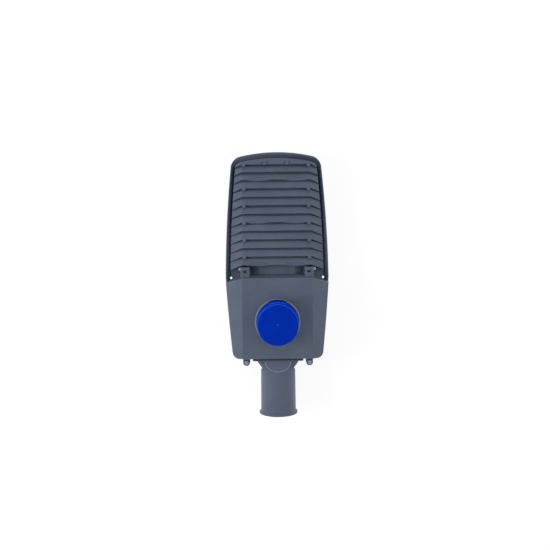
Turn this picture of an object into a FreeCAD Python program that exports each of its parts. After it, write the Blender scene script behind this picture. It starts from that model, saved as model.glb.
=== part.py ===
"""LED street light head: die-cast housing with a slatted top, hinged driver cover,
twist-lock light sensor and a bolted-on socket for a 60 mm pole spigot.

Millimetres. The origin is the centre of the pole socket's mouth, on its axis.
+Y runs along the head to its tip, +X to its right and +Z up, away from the road.
"""
import FreeCAD, Part
import math
import os

V = FreeCAD.Vector
X_AXIS = V(1, 0, 0)
Y_AXIS = V(0, 1, 0)
Z_AXIS = V(0, 0, 1)

# Pole socket and its adapter casting
socket_bore_radius = 30.5
socket_wall = 4.5
socket_depth = 76.0
tube_length = 90.4
tube_draft = 0.5
shoulder_radius = 4.5
bell_length = 6.4
bell_lip = 2.6
bell_rise = 3.8
cable_way_radius = 14.0
neck_length = 20.2
neck_start_half = 42.6
neck_end_half = 25.4
neck_sink = 0.3
neck_top = 33.0
neck_bottom = -36.0
plate_half_width = 50.2
plate_top = 40.0
plate_bottom = -40.0
plate_thickness = 3.4
plate_corner_radius = 5.0
tongue_half_width = 26.0
tongue_reach = 22.6
tongue_top = 37.0
tongue_nose_radius = 21.0
tongue_nose_start = 9.6
tongue_edge_radius = 0.8
adapter_gasket_thickness = 1.5
adapter_bolt_spacing_x = 60.0
adapter_bolt_spacing_z = 34.0
adapter_bolt_mid_z = -8.0
adapter_bolt_radius = 4.0
adapter_bolt_depth = 10.0
clamp_screw_radius = 4.0
clamp_screw_places = (20.0, 54.0)
clamp_boss_radius = 8.5
clamp_boss_drop = 6.0

# Head outline, seen from above
head_rear_y = tube_length + neck_length + plate_thickness + adapter_gasket_thickness
widest_half = 103.5
widest_back = 160.5
rear_draw_in = 14.7
rear_side_bow = 0.9
middle_draw_in = 3.2
middle_back = 271.5
shoulder_draw_in = 13.2
shoulder_back = 402.0
side_fall = 0.085
tip_back = 414.9
rear_corner_radius = 14.0
tip_corner_radius = 25.0

# Levels
underside_z = -42.0
rim_z = 20.0
tip_drop = 10.0
slope_start_back = 169.5
skirt_height = 16.0
body_top_inset = 15.0
body_bottom_inset = 20.0
underside_edge_radius = 5.0

# Slatted tray
rim_edge = 1.5
rim_wall_run = 8.0
tip_wall_extra = 5.5
tray_start_back = 148.0
valley_depth = 8.0
crest_height = 13.5
slat_end_drop = 1.0
crease_half = 69.0
side_sweep = 0.34
side_step_share = 0.3
slat_count = 13
last_step_back = 184.5
slat_pitch = 17.15
end_slat_count = 2
end_slat_pitch = 15.6
slat_rise = 4.6
groove_width = 2.4
groove_depth = 2.6
step_lean = 1.2
first_slat_length = 30.0
scoop_steps = (0, 5, 10)
scoop_x = 37.0
scoop_half_chord = 24.0
scoop_reach = 5.6
scoop_drop = 3.6
scoop_lobe = 1.3
knob_radius = 3.75
knob_x = 65.0
knob_steps = (1, 3, 5, 7, 9, 12)
knob_setback = 1.5
knob_rise = 0.8
front_knob_x = 22.5
front_knob_ahead = 2.2
front_knob_rise = 1.0
knob_slot_half = 6.4
knob_slot_width = 2.2
knob_slot_depth = 2.2

# Shelf, gutter and driver bay
shelf_z = 8.0
gutter_wall = 3.0
bay_front_back = 156.5
bay_front_half = 79.0
bay_rear_back = 24.5
bay_rear_half = 67.0
bay_corner_radius = 12.0
bay_floor_z = -38.0
bay_wall = 4.0
bay_front_wall = 8.0
sill_half = 56.0
sill_slope_run = 20.0
sill_top_z = 17.0
alcove_half = 46.0
alcove_back = 6.0
drain_radius = 2.6
drain_inset = 10.0
drain_back = 160.1

# Driver cover
cover_gap = 0.5
cover_top_z = 46.0
cover_edge_z = 28.0
cover_wall = 3.0
cover_front_back = 166.5
front_lean = 16.8
front_sweep = 23.9
cover_edge_radius = 3.0
ear_x = 63.0
ear_reach = 9.4
ear_radius = 6.8
cover_ear_thickness = 6.0
house_ear_thickness = 14.0
seal_rib_width = 3.0
seal_width = 4.0
seal_groove_depth = 3.0
seal_clearance = 0.3

# Cover hinges
hinge_x = 64.0
hinge_ahead = 10.0
hinge_z = 28.0
hinge_eye_radius = 5.5
hinge_arm = 4.8
hinge_span = 17.6
hinge_lug = 6.0
hinge_web_drop = 0.8
hinge_notch = 7.4
hinge_pin_radius = 3.0
hinge_pin_clearance = 0.05
hinge_head_radius = 4.1
hinge_head_height = 4.2

# Cover screws
cover_screw_radius = 2.5
cover_screw_clearance = 0.5
cover_screw_engage = 6.0
cover_head_radius = 4.2
cover_head_height = 3.0

# Twist-lock receptacle and light sensor
sensor_back = 74.3
receptacle_ring_radius = 44.3
receptacle_ring_height = 7.0
receptacle_gasket_thickness = 1.0
receptacle_body_radius = 31.5
receptacle_body_drop = 26.0
receptacle_screw_x = 37.5
receptacle_screw_radius = 2.0
receptacle_head_radius = 3.6
receptacle_head_height = 2.4
receptacle_head_depth = 3.5
receptacle_head_slot = 1.0
receptacle_screw_end = 7.0
receptacle_boss_radius = 5.0
receptacle_boss_length = 12.0
blade_circle_radius = 19.5
blade_thickness = 1.6
blade_span = 26.0
blade_length = 15.0
blade_slot_clearance = 0.6
twist_angle = 25.0
contact_thickness = 0.8
contact_height = 12.0
sensor_gasket_thickness = 2.0
sensor_hub_radius = 28.0
sensor_base_radius = 41.2
sensor_top_radius = 37.6
sensor_height = 68.0
sensor_wall = 2.4
sensor_edge_radius = 4.0
sensor_base_thickness = 4.0
sensor_base_gap = 0.2
sensor_post_radius = 4.0
sensor_post_height = 20.0
sensor_board_radius = 30.0
sensor_board_thickness = 1.6
relay_length = 20.0
relay_width = 16.0
relay_height = 16.0
cell_radius = 4.0
cell_height = 6.0
cell_ahead = 22.0
tab_half_width = 17.2
tab_base_radius = 43.2
tab_top_radius = 40.6
tab_edge_radius = 0.6
tab_height = 57.0
gate_mark_radius = 1.6
gate_mark_height = 0.4

# Lamp side
frame_lip = 4.0
frame_front_back = 172.5
frame_thickness = 3.0
frame_recess = 0.5
frame_width = 15.0
frame_screw_inset = 5.0
frame_screw_rear_x = 40.0
frame_screw_tip_x = 34.0
frame_screw_backs = (225.0, 330.0)
frame_screw_length = 6.5
frame_socket_across = 2.5
frame_socket_depth = 1.2
frame_corner_radius = 14.0
glass_thickness = 4.0
glass_margin = 9.0
glass_clearance = 0.5
glass_seal_thickness = 2.0
glass_seal_width = 6.0
lamp_ceiling_z = -10.0
board_half_gap = 3.0
board_side_gap = 3.0
board_rear_gap = 10.0
board_front_gap = 6.0
board_thickness = 1.6
led_columns = 2
led_rows = 8
led_size = 3.5
led_thickness = 0.8
lens_plate_thickness = 2.0
lens_rim = 2.0
lens_base_radius = 8.0
lens_top_radius = 6.2
lens_height = 5.0
frame_screw_radius = 2.0
frame_head_radius = 3.6
frame_head_height = 2.0
board_screw_radius = 1.5
board_head_radius = 2.8
board_head_height = 1.8

# Contents of the driver bay
tray_thickness = 1.5
tray_post_height = 4.0
tray_post_radius = 5.0
tray_half_width = 65.0
gear_start_back = 32.0
tray_length = 116.0
tray_screw_radius = 2.0
tray_head_radius = 3.6
tray_head_height = 2.2
driver_half_length = 50.0
driver_width = 58.0
driver_height = 32.0
driver_edge_radius = 2.0
driver_cap_length = 4.0
driver_gap = 4.0
surge_x = -34.0
surge_length = 46.0
surge_width = 30.0
surge_height = 24.0
terminal_x = 32.0
terminal_length = 52.0
terminal_width = 22.0
terminal_height = 18.0
terminal_ways = 5
row_gap = 6.0
earth_screw_x = 0.0
gland_thread_radius = 8.0
gland_hole_clearance = 0.2
gland_bore_radius = 5.5
gland_nut_across = 24.0
gland_nut_height = 5.0
gland_body_across = 22.0
gland_body_length = 10.0
gland_z = -8.0
vent_radius = 8.0
vent_height = 1.8
vent_recess_radius = 10.0
vent_recess_depth = 2.0
vent_thread_radius = 5.0
vent_x = 40.0
vent_back = 62.0
rear_hole_length = 40.0

# Places worked out from the sizes above
rear_half = widest_half - rear_draw_in
middle_half = widest_half - middle_draw_in
shoulder_half = widest_half - shoulder_draw_in
tube_radius = socket_bore_radius + socket_wall
plate_rear_y = tube_length + neck_length
plate_front_y = plate_rear_y + plate_thickness
tip_y = head_rear_y + tip_back
slope_start_y = head_rear_y + slope_start_back
slope_run = tip_y - slope_start_y
slope_angle = math.degrees(math.atan2(tip_drop, slope_run))
cover_bottom_z = rim_z + cover_gap
cover_front_y = head_rear_y + cover_front_back
hinge_y = cover_front_y + hinge_ahead
ear_y = head_rear_y - ear_reach
sensor_y = head_rear_y + sensor_back
ring_top_z = cover_top_z + receptacle_gasket_thickness + receptacle_ring_height
sensor_base_z = ring_top_z + sensor_gasket_thickness
bay_front_y = head_rear_y + bay_front_back
bay_rear_y = head_rear_y + bay_rear_back
tray_z = bay_floor_z + tray_post_height
valley_z = rim_z - valley_depth
far = 700.0


def box(x0, y0, z0, x1, y1, z1):
    return Part.makeBox(x1 - x0, y1 - y0, z1 - z0, V(x0, y0, z0))


def cylinder(radius, height, base, direction=Z_AXIS):
    return Part.makeCylinder(radius, height, base, direction)


def tube(outer, inner, height, base, direction=Z_AXIS):
    return cylinder(outer, height, base, direction).cut(cylinder(inner, height, base, direction))


def fuse_all(shapes):
    result = shapes[0]
    if len(shapes) > 1:
        result = shapes[0].multiFuse(shapes[1:])
    return result.removeSplitter()


def polygon_face(points):
    return Part.Face(Part.makePolygon(points + [points[0]]))


def side_profile(points, x0, x1):
    """A prism along X from (y, z) points."""
    face = polygon_face([V(x0, y, z) for y, z in points])
    return face.extrude(V(x1 - x0, 0, 0))


def hexagon(across, height, base, direction):
    """A hexagonal prism with the given width across its flats."""
    radius = across / math.sqrt(3)
    points = [V(radius * math.cos(math.radians(60 * i)), radius * math.sin(math.radians(60 * i)), 0)
              for i in range(6)]
    prism = polygon_face(points).extrude(V(0, 0, height))
    turn = FreeCAD.Rotation(Z_AXIS, direction)
    prism.Placement = FreeCAD.Placement(base, turn)
    return prism


def upright_edges(shape, corners, reach):
    """For each (x, y) corner, the steep edge that passes nearest to it."""
    steep = []
    for edge in shape.Edges:
        first, last = edge.Vertexes[0].Point, edge.Vertexes[-1].Point
        if abs(last.z - first.z) > 0.45 * edge.Length:
            steep.append((edge, (first + last) * 0.5))
    found = []
    for x, y in corners:
        edge, middle = min(steep, key=lambda item: math.hypot(item[1].x - x, item[1].y - y))
        if math.hypot(middle.x - x, middle.y - y) < reach:
            found.append(edge)
    return found


def head_wire(inset, z, tip_extra=0.0):
    """The head's outline with sharp corners, moved in by inset and further at the tip."""
    def right(half, back):
        return V(half, head_rear_y + back, z)

    def left(half, back):
        return V(-half, head_rear_y + back, z)

    rear = (rear_half, 0.0)
    bow = ((rear_half + widest_half) / 2 + rear_side_bow, widest_back / 2)
    widest = (widest_half, widest_back)
    middle = (middle_half, middle_back)
    shoulder = (shoulder_half + side_fall * tip_extra, shoulder_back - tip_extra)
    edges = [
        Part.makeLine(left(*rear), right(*rear)),
        Part.Arc(right(*rear), right(*bow), right(*widest)).toShape(),
        Part.Arc(right(*widest), right(*middle), right(*shoulder)).toShape(),
        Part.Arc(right(*shoulder), V(0, tip_y - tip_extra, z), left(*shoulder)).toShape(),
        Part.Arc(left(*shoulder), left(*middle), left(*widest)).toShape(),
        Part.Arc(left(*widest), left(*bow), left(*rear)).toShape(),
    ]
    wire = Part.Wire(edges)
    if inset:
        wire = wire.makeOffset2D(-inset, join=2)
    return wire


def circle_through(first, second, third):
    """Centre and radius of the circle through three (x, y) points."""
    circle = Part.Arc(V(*first, 0), V(*second, 0), V(*third, 0)).toShape().Curve
    return circle.Center.x, circle.Center.y, circle.Radius


def side_half(back):
    """The outline's half width, ahead of its widest place."""
    x, y, radius = circle_through((widest_half, widest_back), (middle_half, middle_back),
                                  (shoulder_half, shoulder_back))
    return x + math.sqrt(radius ** 2 - (back - y) ** 2)


def tip_reach(x):
    """How far ahead of the rear the tip's arc lies at x."""
    _, y, radius = circle_through((-shoulder_half, shoulder_back), (0, tip_back),
                                  (shoulder_half, shoulder_back))
    return y + math.sqrt(radius ** 2 - x ** 2)


def head_corners(inset, tip_extra=0.0):
    """Plan places of the four rounded corners of the outline."""
    rear_x = rear_half - inset
    tip_x = shoulder_half - inset
    rear_y = head_rear_y + inset
    front_y = head_rear_y + shoulder_back - tip_extra - inset
    return [(rear_x, rear_y), (-rear_x, rear_y)], [(tip_x, front_y), (-tip_x, front_y)]


def head_prism(inset, z0, z1, rear_radius=rear_corner_radius, tip_radius=tip_corner_radius,
               tip_extra=0.0):
    """A straight-sided block of the head's outline, with rounded corners."""
    block = Part.Face(head_wire(inset, z0, tip_extra)).extrude(V(0, 0, z1 - z0))
    rear, tip = head_corners(inset, tip_extra)
    block = block.makeFillet(rear_radius, upright_edges(block, rear, 20.0))
    return block.makeFillet(tip_radius, upright_edges(block, tip, 20.0))


def head_taper(inset0, z0, inset1, z1, rear_radius, tip_radius, tip_extra0=0.0, tip_extra1=0.0):
    """A block of the head's outline whose sides lean between two insets."""
    block = Part.makeLoft([head_wire(inset0, z0, tip_extra0), head_wire(inset1, z1, tip_extra1)], True, True)
    rear, tip = head_corners((inset0 + inset1) / 2, (tip_extra0 + tip_extra1) / 2)
    block = block.makeFillet(rear_radius, upright_edges(block, rear, 20.0))
    return block.makeFillet(tip_radius, upright_edges(block, tip, 20.0))


def tilt(shape):
    """Lays a shape that is level with the rim onto the rim's slope to the tip."""
    tilted = shape.copy()
    tilted.rotate(V(0, slope_start_y, rim_z), X_AXIS, -slope_angle)
    return tilted


def bay_block(grow, z0, z1, radius):
    """The driver bay's plan, grown outwards, as a block."""
    front_y = bay_front_y + grow
    rear_y = bay_rear_y - grow
    lean = (bay_front_half - bay_rear_half) / (bay_front_y - bay_rear_y)
    front_half = bay_front_half + grow + lean * grow
    rear_half_width = bay_rear_half + grow - lean * grow
    face = polygon_face([V(-rear_half_width, rear_y, z0), V(rear_half_width, rear_y, z0),
                         V(front_half, front_y, z0), V(-front_half, front_y, z0)])
    block = face.extrude(V(0, 0, z1 - z0))
    corners = [(rear_half_width, rear_y), (-rear_half_width, rear_y),
               (front_half, front_y), (-front_half, front_y)]
    return block.makeFillet(radius, upright_edges(block, corners, 1.0))


def step_places():
    """Distances of the slats' steps ahead of the head's rear, from the cover to the tip."""
    places = [last_step_back]
    for number in range(1, slat_count):
        near_tip = number >= slat_count - end_slat_count
        places.append(places[-1] + (end_slat_pitch if near_tip else slat_pitch))
    return [head_rear_y + place for place in places]


def slat_face(offset, share):
    """The saw-toothed section of the slats, level with the rim, with its steps made smaller by share."""
    steps = step_places()
    floor = valley_z - 1.0
    crest = rim_z + crest_height
    rise = slat_rise * share
    depth = groove_depth * share
    width = groove_width * share
    lean = step_lean * share
    points = [V(0, steps[0], floor), V(0, steps[0], crest)]
    for number, y in enumerate(steps):
        if number:
            foot = crest - rise - depth
            points += [V(0, y - lean - width, crest - rise),
                       V(0, y - lean - width * 0.75, foot),
                       V(0, y - lean, foot),
                       V(0, y, crest)]
    front = steps[-1] + first_slat_length
    points += [V(0, front, crest - rise), V(0, front, floor)]
    wire = Part.makePolygon(points + [points[0]])
    wire.translate(offset)
    return wire


def scoop_cutter(x, y):
    """A shallow round scoop cut down through a slat's crest."""
    radius = (scoop_half_chord ** 2 + scoop_drop ** 2) / (2 * scoop_drop)
    slope = slat_rise / (slat_pitch - step_lean - groove_width)
    fall = (scoop_drop - slope * scoop_reach) / scoop_reach
    direction = V(0, -1, -fall)
    direction.normalize()
    run = scoop_reach * 4
    lowest = V(x, y, rim_z + crest_height - scoop_drop)
    lift = V(0, -direction.z, direction.y) * -radius
    round_bar = cylinder(radius, run * 1.4, lowest + lift - direction * run, direction)
    span = box(x - far, y - step_lean - groove_width - scoop_lobe, 0, x + far, y + slat_pitch * 0.75, far)
    return round_bar.common(span)


def scoop_segment(x, y, z0, z1):
    """A block with the plan of a shallow arc that bulges towards the pole from y."""
    radius = (scoop_half_chord ** 2 + scoop_lobe ** 2) / (2 * scoop_lobe)
    disc = cylinder(radius, z1 - z0, V(x, y - scoop_lobe + radius, z0))
    return disc.common(box(x - scoop_half_chord, y - scoop_lobe - 1.0, z0,
                           x + scoop_half_chord, y + step_lean, z1))


def scoop_lobe_block(x, y):
    """The lip of a scoop, which stands out over the foot of its slat."""
    foot = rim_z + crest_height - slat_rise - groove_depth
    return scoop_segment(x, y - step_lean * 0.5, foot - 2.0, rim_z + crest_height)


def scoop_trench(x, y):
    """The curved part of the groove under a scoop's lip."""
    foot = rim_z + crest_height - slat_rise - groove_depth
    return scoop_segment(x, y - step_lean - groove_width, foot, rim_z + crest_height + 1.0)


def slats():
    """The slats: a level middle between the creases and sides that fall to the rim's level."""
    steps = step_places()
    drop = crest_height + slat_end_drop
    run = widest_half - rim_edge - rim_wall_run - crease_half
    middle = Part.Face(slat_face(V(-crease_half, 0, 0), 1.0)).extrude(V(2 * crease_half, 0, 0))
    blocks = [middle]
    for side in (-1, 1):
        inner = slat_face(V(side * crease_half, 0, 0), 1.0)
        outer = slat_face(V(side * (crease_half + run), -side_sweep * run, -drop), side_step_share)
        blocks.append(Part.makeLoft([inner, outer], True, True))
    block = fuse_all(blocks)
    lobes = []
    trenches = []
    scoops = []
    for number in scoop_steps:
        for side in (-1, 1):
            lobes.append(scoop_lobe_block(side * scoop_x, steps[number]))
            if number:
                trenches.append(scoop_trench(side * scoop_x, steps[number]))
            scoops.append(scoop_cutter(side * scoop_x, steps[number]))
    block = block.cut(Part.makeCompound(trenches))
    block = fuse_all([block] + lobes).cut(Part.makeCompound(scoops))
    floor = valley_z - 1.0
    knob_height = crest_height + knob_rise + valley_depth + 1.0
    knobs = []
    for number in knob_steps:
        for side in (-1, 1):
            base = V(side * knob_x, steps[number] - knob_setback, floor)
            knobs.append(cylinder(knob_radius, knob_height, base))
    slots = []
    for side in (-1, 1):
        x, y = side * front_knob_x, steps[-1] + front_knob_ahead
        knobs.append(cylinder(knob_radius, knob_height - knob_rise + front_knob_rise, V(x, y, floor)))
        slots.append(box(x - knob_slot_half, y, rim_z + crest_height - slat_rise * 0.1 - knob_slot_depth,
                         x + knob_slot_half, y + knob_slot_width, rim_z + crest_height + 1.0))
    block = fuse_all([block.cut(Part.makeCompound(slots))] + knobs)
    limit = head_prism(rim_edge + rim_wall_run, floor, rim_z + 30.0, 6.0, 8.0, tip_wall_extra)
    keep = box(-far, steps[0] - 12.0, floor - 1.0, far, far, rim_z + 30.0)
    return tilt(block.common(limit.common(keep)))


def skirt_band():
    """The outer band of the housing, level beside the bay and falling to the tip."""
    depth = skirt_height
    past = 10.0
    drop_past = tip_drop + past * tip_drop / slope_run
    profile = side_profile([(head_rear_y - past, rim_z), (slope_start_y, rim_z),
                            (tip_y + past, rim_z - drop_past), (tip_y + past, rim_z - drop_past - depth),
                            (slope_start_y, rim_z - depth), (head_rear_y - past, rim_z - depth)],
                           -far / 4, far / 4)
    return head_prism(0, underside_z, rim_z + 1.0).common(profile)


def bay_rim():
    """The wall round the driver bay, with its thicker front."""
    low = shelf_z - 2.0
    ring = bay_block(bay_wall, low, rim_z, bay_corner_radius + bay_wall)
    front = box(-bay_front_half, bay_front_y, low, bay_front_half, bay_front_y + bay_front_wall, rim_z)
    return ring.fuse(front)


def tray_hollow():
    """The space inside the sloping rim, ahead of the driver cover."""
    over = 2.0
    slope = rim_wall_run / valley_depth
    hollow = head_taper(rim_edge + rim_wall_run, valley_z,
                        rim_edge - over * slope, rim_z + over, 8.0, 12.0, tip_wall_extra, 0.0)
    ahead = box(-far, head_rear_y + tray_start_back, underside_z, far, far, rim_z + 30.0)
    return tilt(hollow).common(ahead)


def gutter():
    """The straight-walled gutter round the driver bay, under the cover."""
    outer = head_prism(gutter_wall, shelf_z, rim_z + 1.0, 11.0, 12.0)
    return outer.common(box(-far, 0, shelf_z, far, head_rear_y + tray_start_back + 0.01, rim_z + 1.0))


def lower_body():
    """The narrower box below the band, with its rear pad for the adapter."""
    body = head_taper(body_bottom_inset, underside_z, body_top_inset, rim_z - skirt_height + 4.0,
                      10.0, 14.0)
    bottom = [edge for edge in body.Edges
              if all(abs(vertex.Point.z - underside_z) < 0.01 for vertex in edge.Vertexes)]
    body = body.makeFillet(underside_edge_radius, bottom)
    pad = box(-plate_half_width - 1.8, head_rear_y, underside_z + 1.5,
              plate_half_width + 1.8, bay_rear_y, rim_z - 0.5)
    pad = pad.makeFillet(2.0, [edge for edge in pad.Edges
                               if abs(edge.Vertexes[0].Point.y - head_rear_y) < 0.01
                               and abs(edge.Vertexes[-1].Point.y - head_rear_y) < 0.01
                               and abs(edge.Vertexes[0].Point.z - edge.Vertexes[-1].Point.z) > 1.0])
    return body.fuse(pad)


def house_ear(side):
    ear = cylinder(ear_radius, house_ear_thickness, V(side * ear_x, ear_y, rim_z - house_ear_thickness))
    web = box(side * ear_x - ear_radius, ear_y, rim_z - house_ear_thickness,
              side * ear_x + ear_radius, head_rear_y + 8.0, rim_z)
    return ear.fuse(web)


def hinge_lug_post(side):
    """The housing's single lug that stands between the cover's two hinge arms."""
    x0 = side * hinge_x - hinge_lug / 2
    eye = cylinder(hinge_eye_radius, hinge_lug, V(x0, hinge_y, hinge_z), X_AXIS)
    post = box(x0, hinge_y - hinge_eye_radius, valley_z - 1.0,
               x0 + hinge_lug, hinge_y + hinge_eye_radius, hinge_z)
    foot = side_profile([(hinge_y - hinge_eye_radius - 1.5, valley_z - 1.0),
                         (hinge_y + hinge_eye_radius + 1.5, valley_z - 1.0),
                         (hinge_y + hinge_eye_radius, valley_z + 3.0),
                         (hinge_y - hinge_eye_radius, valley_z + 3.0)], x0, x0 + hinge_lug)
    return fuse_all([eye, post, foot])


def frame_places():
    """Plan places of the lamp frame's eight screws."""
    inset = body_bottom_inset + frame_lip + frame_screw_inset
    rear_y = head_rear_y + frame_front_back + frame_screw_inset
    front_y = head_rear_y + tip_reach(frame_screw_tip_x) - inset
    places = []
    for side in (-1, 1):
        places.append((side * frame_screw_rear_x, rear_y))
        places.append((side * frame_screw_tip_x, front_y))
        for back in frame_screw_backs:
            places.append((side * (side_half(back) - inset), head_rear_y + back))
    return places


def lamp_outline_block(inset, rear_back, z0, z1, radius):
    """A block of the head's outline ahead of a straight rear edge."""
    block = head_prism(inset, z0, z1, 6.0, radius)
    block = block.common(box(-far, head_rear_y + rear_back, z0 - 1.0, far, far, z1 + 1.0))
    corner_x = side_half(rear_back) - inset
    corner_y = head_rear_y + rear_back
    edges = upright_edges(block, [(corner_x, corner_y), (-corner_x, corner_y)], 2.0)
    return block.makeFillet(radius * 0.7, edges)


def glass_inset():
    return body_bottom_inset + frame_lip + glass_margin


def recess_inset():
    return glass_inset() + glass_seal_width


def recess_back():
    return frame_front_back + glass_margin + glass_seal_width


def lamp_hollow():
    """The stepped recess for frame, glass and boards, open downwards."""
    lip = body_bottom_inset + frame_lip
    seat_z = underside_z + frame_recess + frame_thickness
    glass_top = seat_z + glass_thickness + glass_seal_thickness
    return fuse_all([
        lamp_outline_block(lip - 0.3, frame_front_back - 0.3, underside_z - 1.0, seat_z,
                           frame_corner_radius),
        lamp_outline_block(glass_inset() - glass_clearance, frame_front_back + glass_margin - glass_clearance,
                           seat_z - 1.0, glass_top, frame_corner_radius - 2.0),
        lamp_outline_block(recess_inset(), recess_back(), glass_top - 1.0, lamp_ceiling_z,
                           frame_corner_radius - 4.0),
    ])


def sill():
    """The raised floor between the hinges, ahead of the driver bay."""
    y0 = bay_front_y + bay_front_wall / 2
    y1 = step_places()[0] + 2.0
    low = valley_z - 1.0
    section = polygon_face([V(-sill_half, y0, low), V(sill_half, y0, low),
                            V(sill_half - sill_slope_run, y0, sill_top_z),
                            V(-sill_half + sill_slope_run, y0, sill_top_z)])
    return section.extrude(V(0, y1 - y0, 0))


def bay_posts():
    """Four cast posts that carry the gear tray."""
    return [cylinder(tray_post_radius, tray_post_height + 1.0, V(x, y, bay_floor_z - 1.0))
            for x, y in tray_places()]


def tray_places():
    inset = 8.0
    near = head_rear_y + gear_start_back + inset
    away = head_rear_y + gear_start_back + tray_length - inset
    reach = tray_half_width - inset
    return [(x, y) for x in (-reach, reach) for y in (near, away)]


def bolt_places():
    """The adapter's four bolts as (x, z)."""
    half_x = adapter_bolt_spacing_x / 2
    half_z = adapter_bolt_spacing_z / 2
    return [(x, adapter_bolt_mid_z + z) for x in (-half_x, half_x) for z in (-half_z, half_z)]


def housing():
    body = fuse_all([skirt_band(), lower_body()] + [house_ear(side) for side in (-1, 1)])
    body = body.cut(tray_hollow()).cut(gutter()).fuse(bay_rim())
    body = body.cut(bay_block(0, bay_floor_z, rim_z + 1.0, bay_corner_radius))
    body = body.cut(box(-alcove_half, head_rear_y + alcove_back, bay_floor_z,
                        alcove_half, bay_rear_y + 5.0, rim_z - 6.0))
    body = fuse_all([body, slats(), sill()] + [hinge_lug_post(side) for side in (-1, 1)] + bay_posts())
    cutters = [lamp_hollow(), seal_groove()]
    for side in (-1, 1):
        drain_x = side * (widest_half - drain_inset)
        cutters.append(cylinder(drain_radius, 30.0, V(drain_x, head_rear_y + drain_back, shelf_z - 20.0)))
        cutters.append(cylinder(hinge_pin_radius + hinge_pin_clearance, hinge_lug + 2.0,
                                V(side * hinge_x - hinge_lug / 2 - 1.0, hinge_y, hinge_z), X_AXIS))
        cutters.append(cylinder(cover_screw_radius + cover_screw_clearance, cover_screw_engage + 2.0,
                                V(side * ear_x, ear_y, rim_z - cover_screw_engage - 1.0)))
    for x, z in bolt_places():
        cutters.append(cylinder(adapter_bolt_radius + 0.4, rear_hole_length,
                                V(x, head_rear_y - 1.0, z), Y_AXIS))
    cutters.append(cylinder(gland_thread_radius + gland_hole_clearance, rear_hole_length,
                            V(0, head_rear_y - 1.0, gland_z), Y_AXIS))
    for x, y in tray_places():
        cutters.append(cylinder(tray_screw_radius, tray_post_height, V(x, y, bay_floor_z)))
    for x, y in frame_places():
        cutters.append(cylinder(frame_screw_radius, 9.0, V(x, y, underside_z)))
    for x, y in board_screw_places():
        cutters.append(cylinder(board_screw_radius, 5.0, V(x, y, lamp_ceiling_z)))
    cutters.append(cylinder(vent_recess_radius, vent_recess_depth + 1.0,
                            V(vent_x, head_rear_y + vent_back, underside_z - 1.0)))
    cutters.append(cylinder(vent_thread_radius, 20.0, V(vent_x, head_rear_y + vent_back, underside_z)))
    return body.cut(Part.makeCompound(cutters))


def seal_ring(width, z0, z1):
    """A ring that follows the middle of the bay's top edge."""
    middle = bay_wall / 2
    outer = bay_block(middle + width / 2, z0, z1, bay_corner_radius + middle + width / 2)
    inner = bay_block(middle - width / 2, z0 - 1.0, z1 + 1.0, bay_corner_radius + middle - width / 2)
    return outer.cut(inner)


def seal_groove():
    return seal_ring(seal_width * 0.6, rim_z - seal_groove_depth, rim_z + 1.0)


def cover_seal():
    return seal_ring(seal_width * 0.6 - 0.1, rim_z - seal_groove_depth, cover_bottom_z - seal_clearance / 2)


def cover_solid(inset, bottom):
    """The cover's outer form, or its inside when inset by the wall."""
    top = cover_top_z - inset
    edge = cover_edge_z - inset * 1.1
    half = widest_half + 1.0
    slope = (cover_top_z - cover_edge_z) / (widest_half - crease_half)
    roof = polygon_face([V(-half, 0, bottom), V(half, 0, bottom), V(half, 0, edge - slope),
                         V(crease_half, 0, top), V(-crease_half, 0, top), V(-half, 0, edge - slope)])
    roof = roof.extrude(V(0, far, 0))
    block = head_prism(inset, bottom, cover_top_z + 1.0, rear_corner_radius - inset,
                       tip_corner_radius).common(roof)
    lean = math.tan(math.radians(front_lean))
    front_low = cover_front_y - inset
    height = cover_top_z - cover_bottom_z + 10.0
    centre = side_profile([(front_low, cover_bottom_z), (front_low - lean * height, cover_bottom_z + height),
                           (far, cover_bottom_z + height), (far, cover_bottom_z - 20.0),
                           (front_low + lean * 20.0, cover_bottom_z - 20.0)], -far, far)
    block = block.cut(centre)
    for side in (-1, 1):
        wedge = side_profile([(0, 0), (-lean * height, height), (far, height), (far, -20.0),
                              (lean * 20.0, -20.0)], -far, far)
        wedge.rotate(V(0, 0, 0), Z_AXIS, -side * front_sweep)
        wedge.translate(V(side * crease_half, front_low + 0.3, cover_bottom_z))
        block = block.cut(wedge)
    return block


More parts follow.
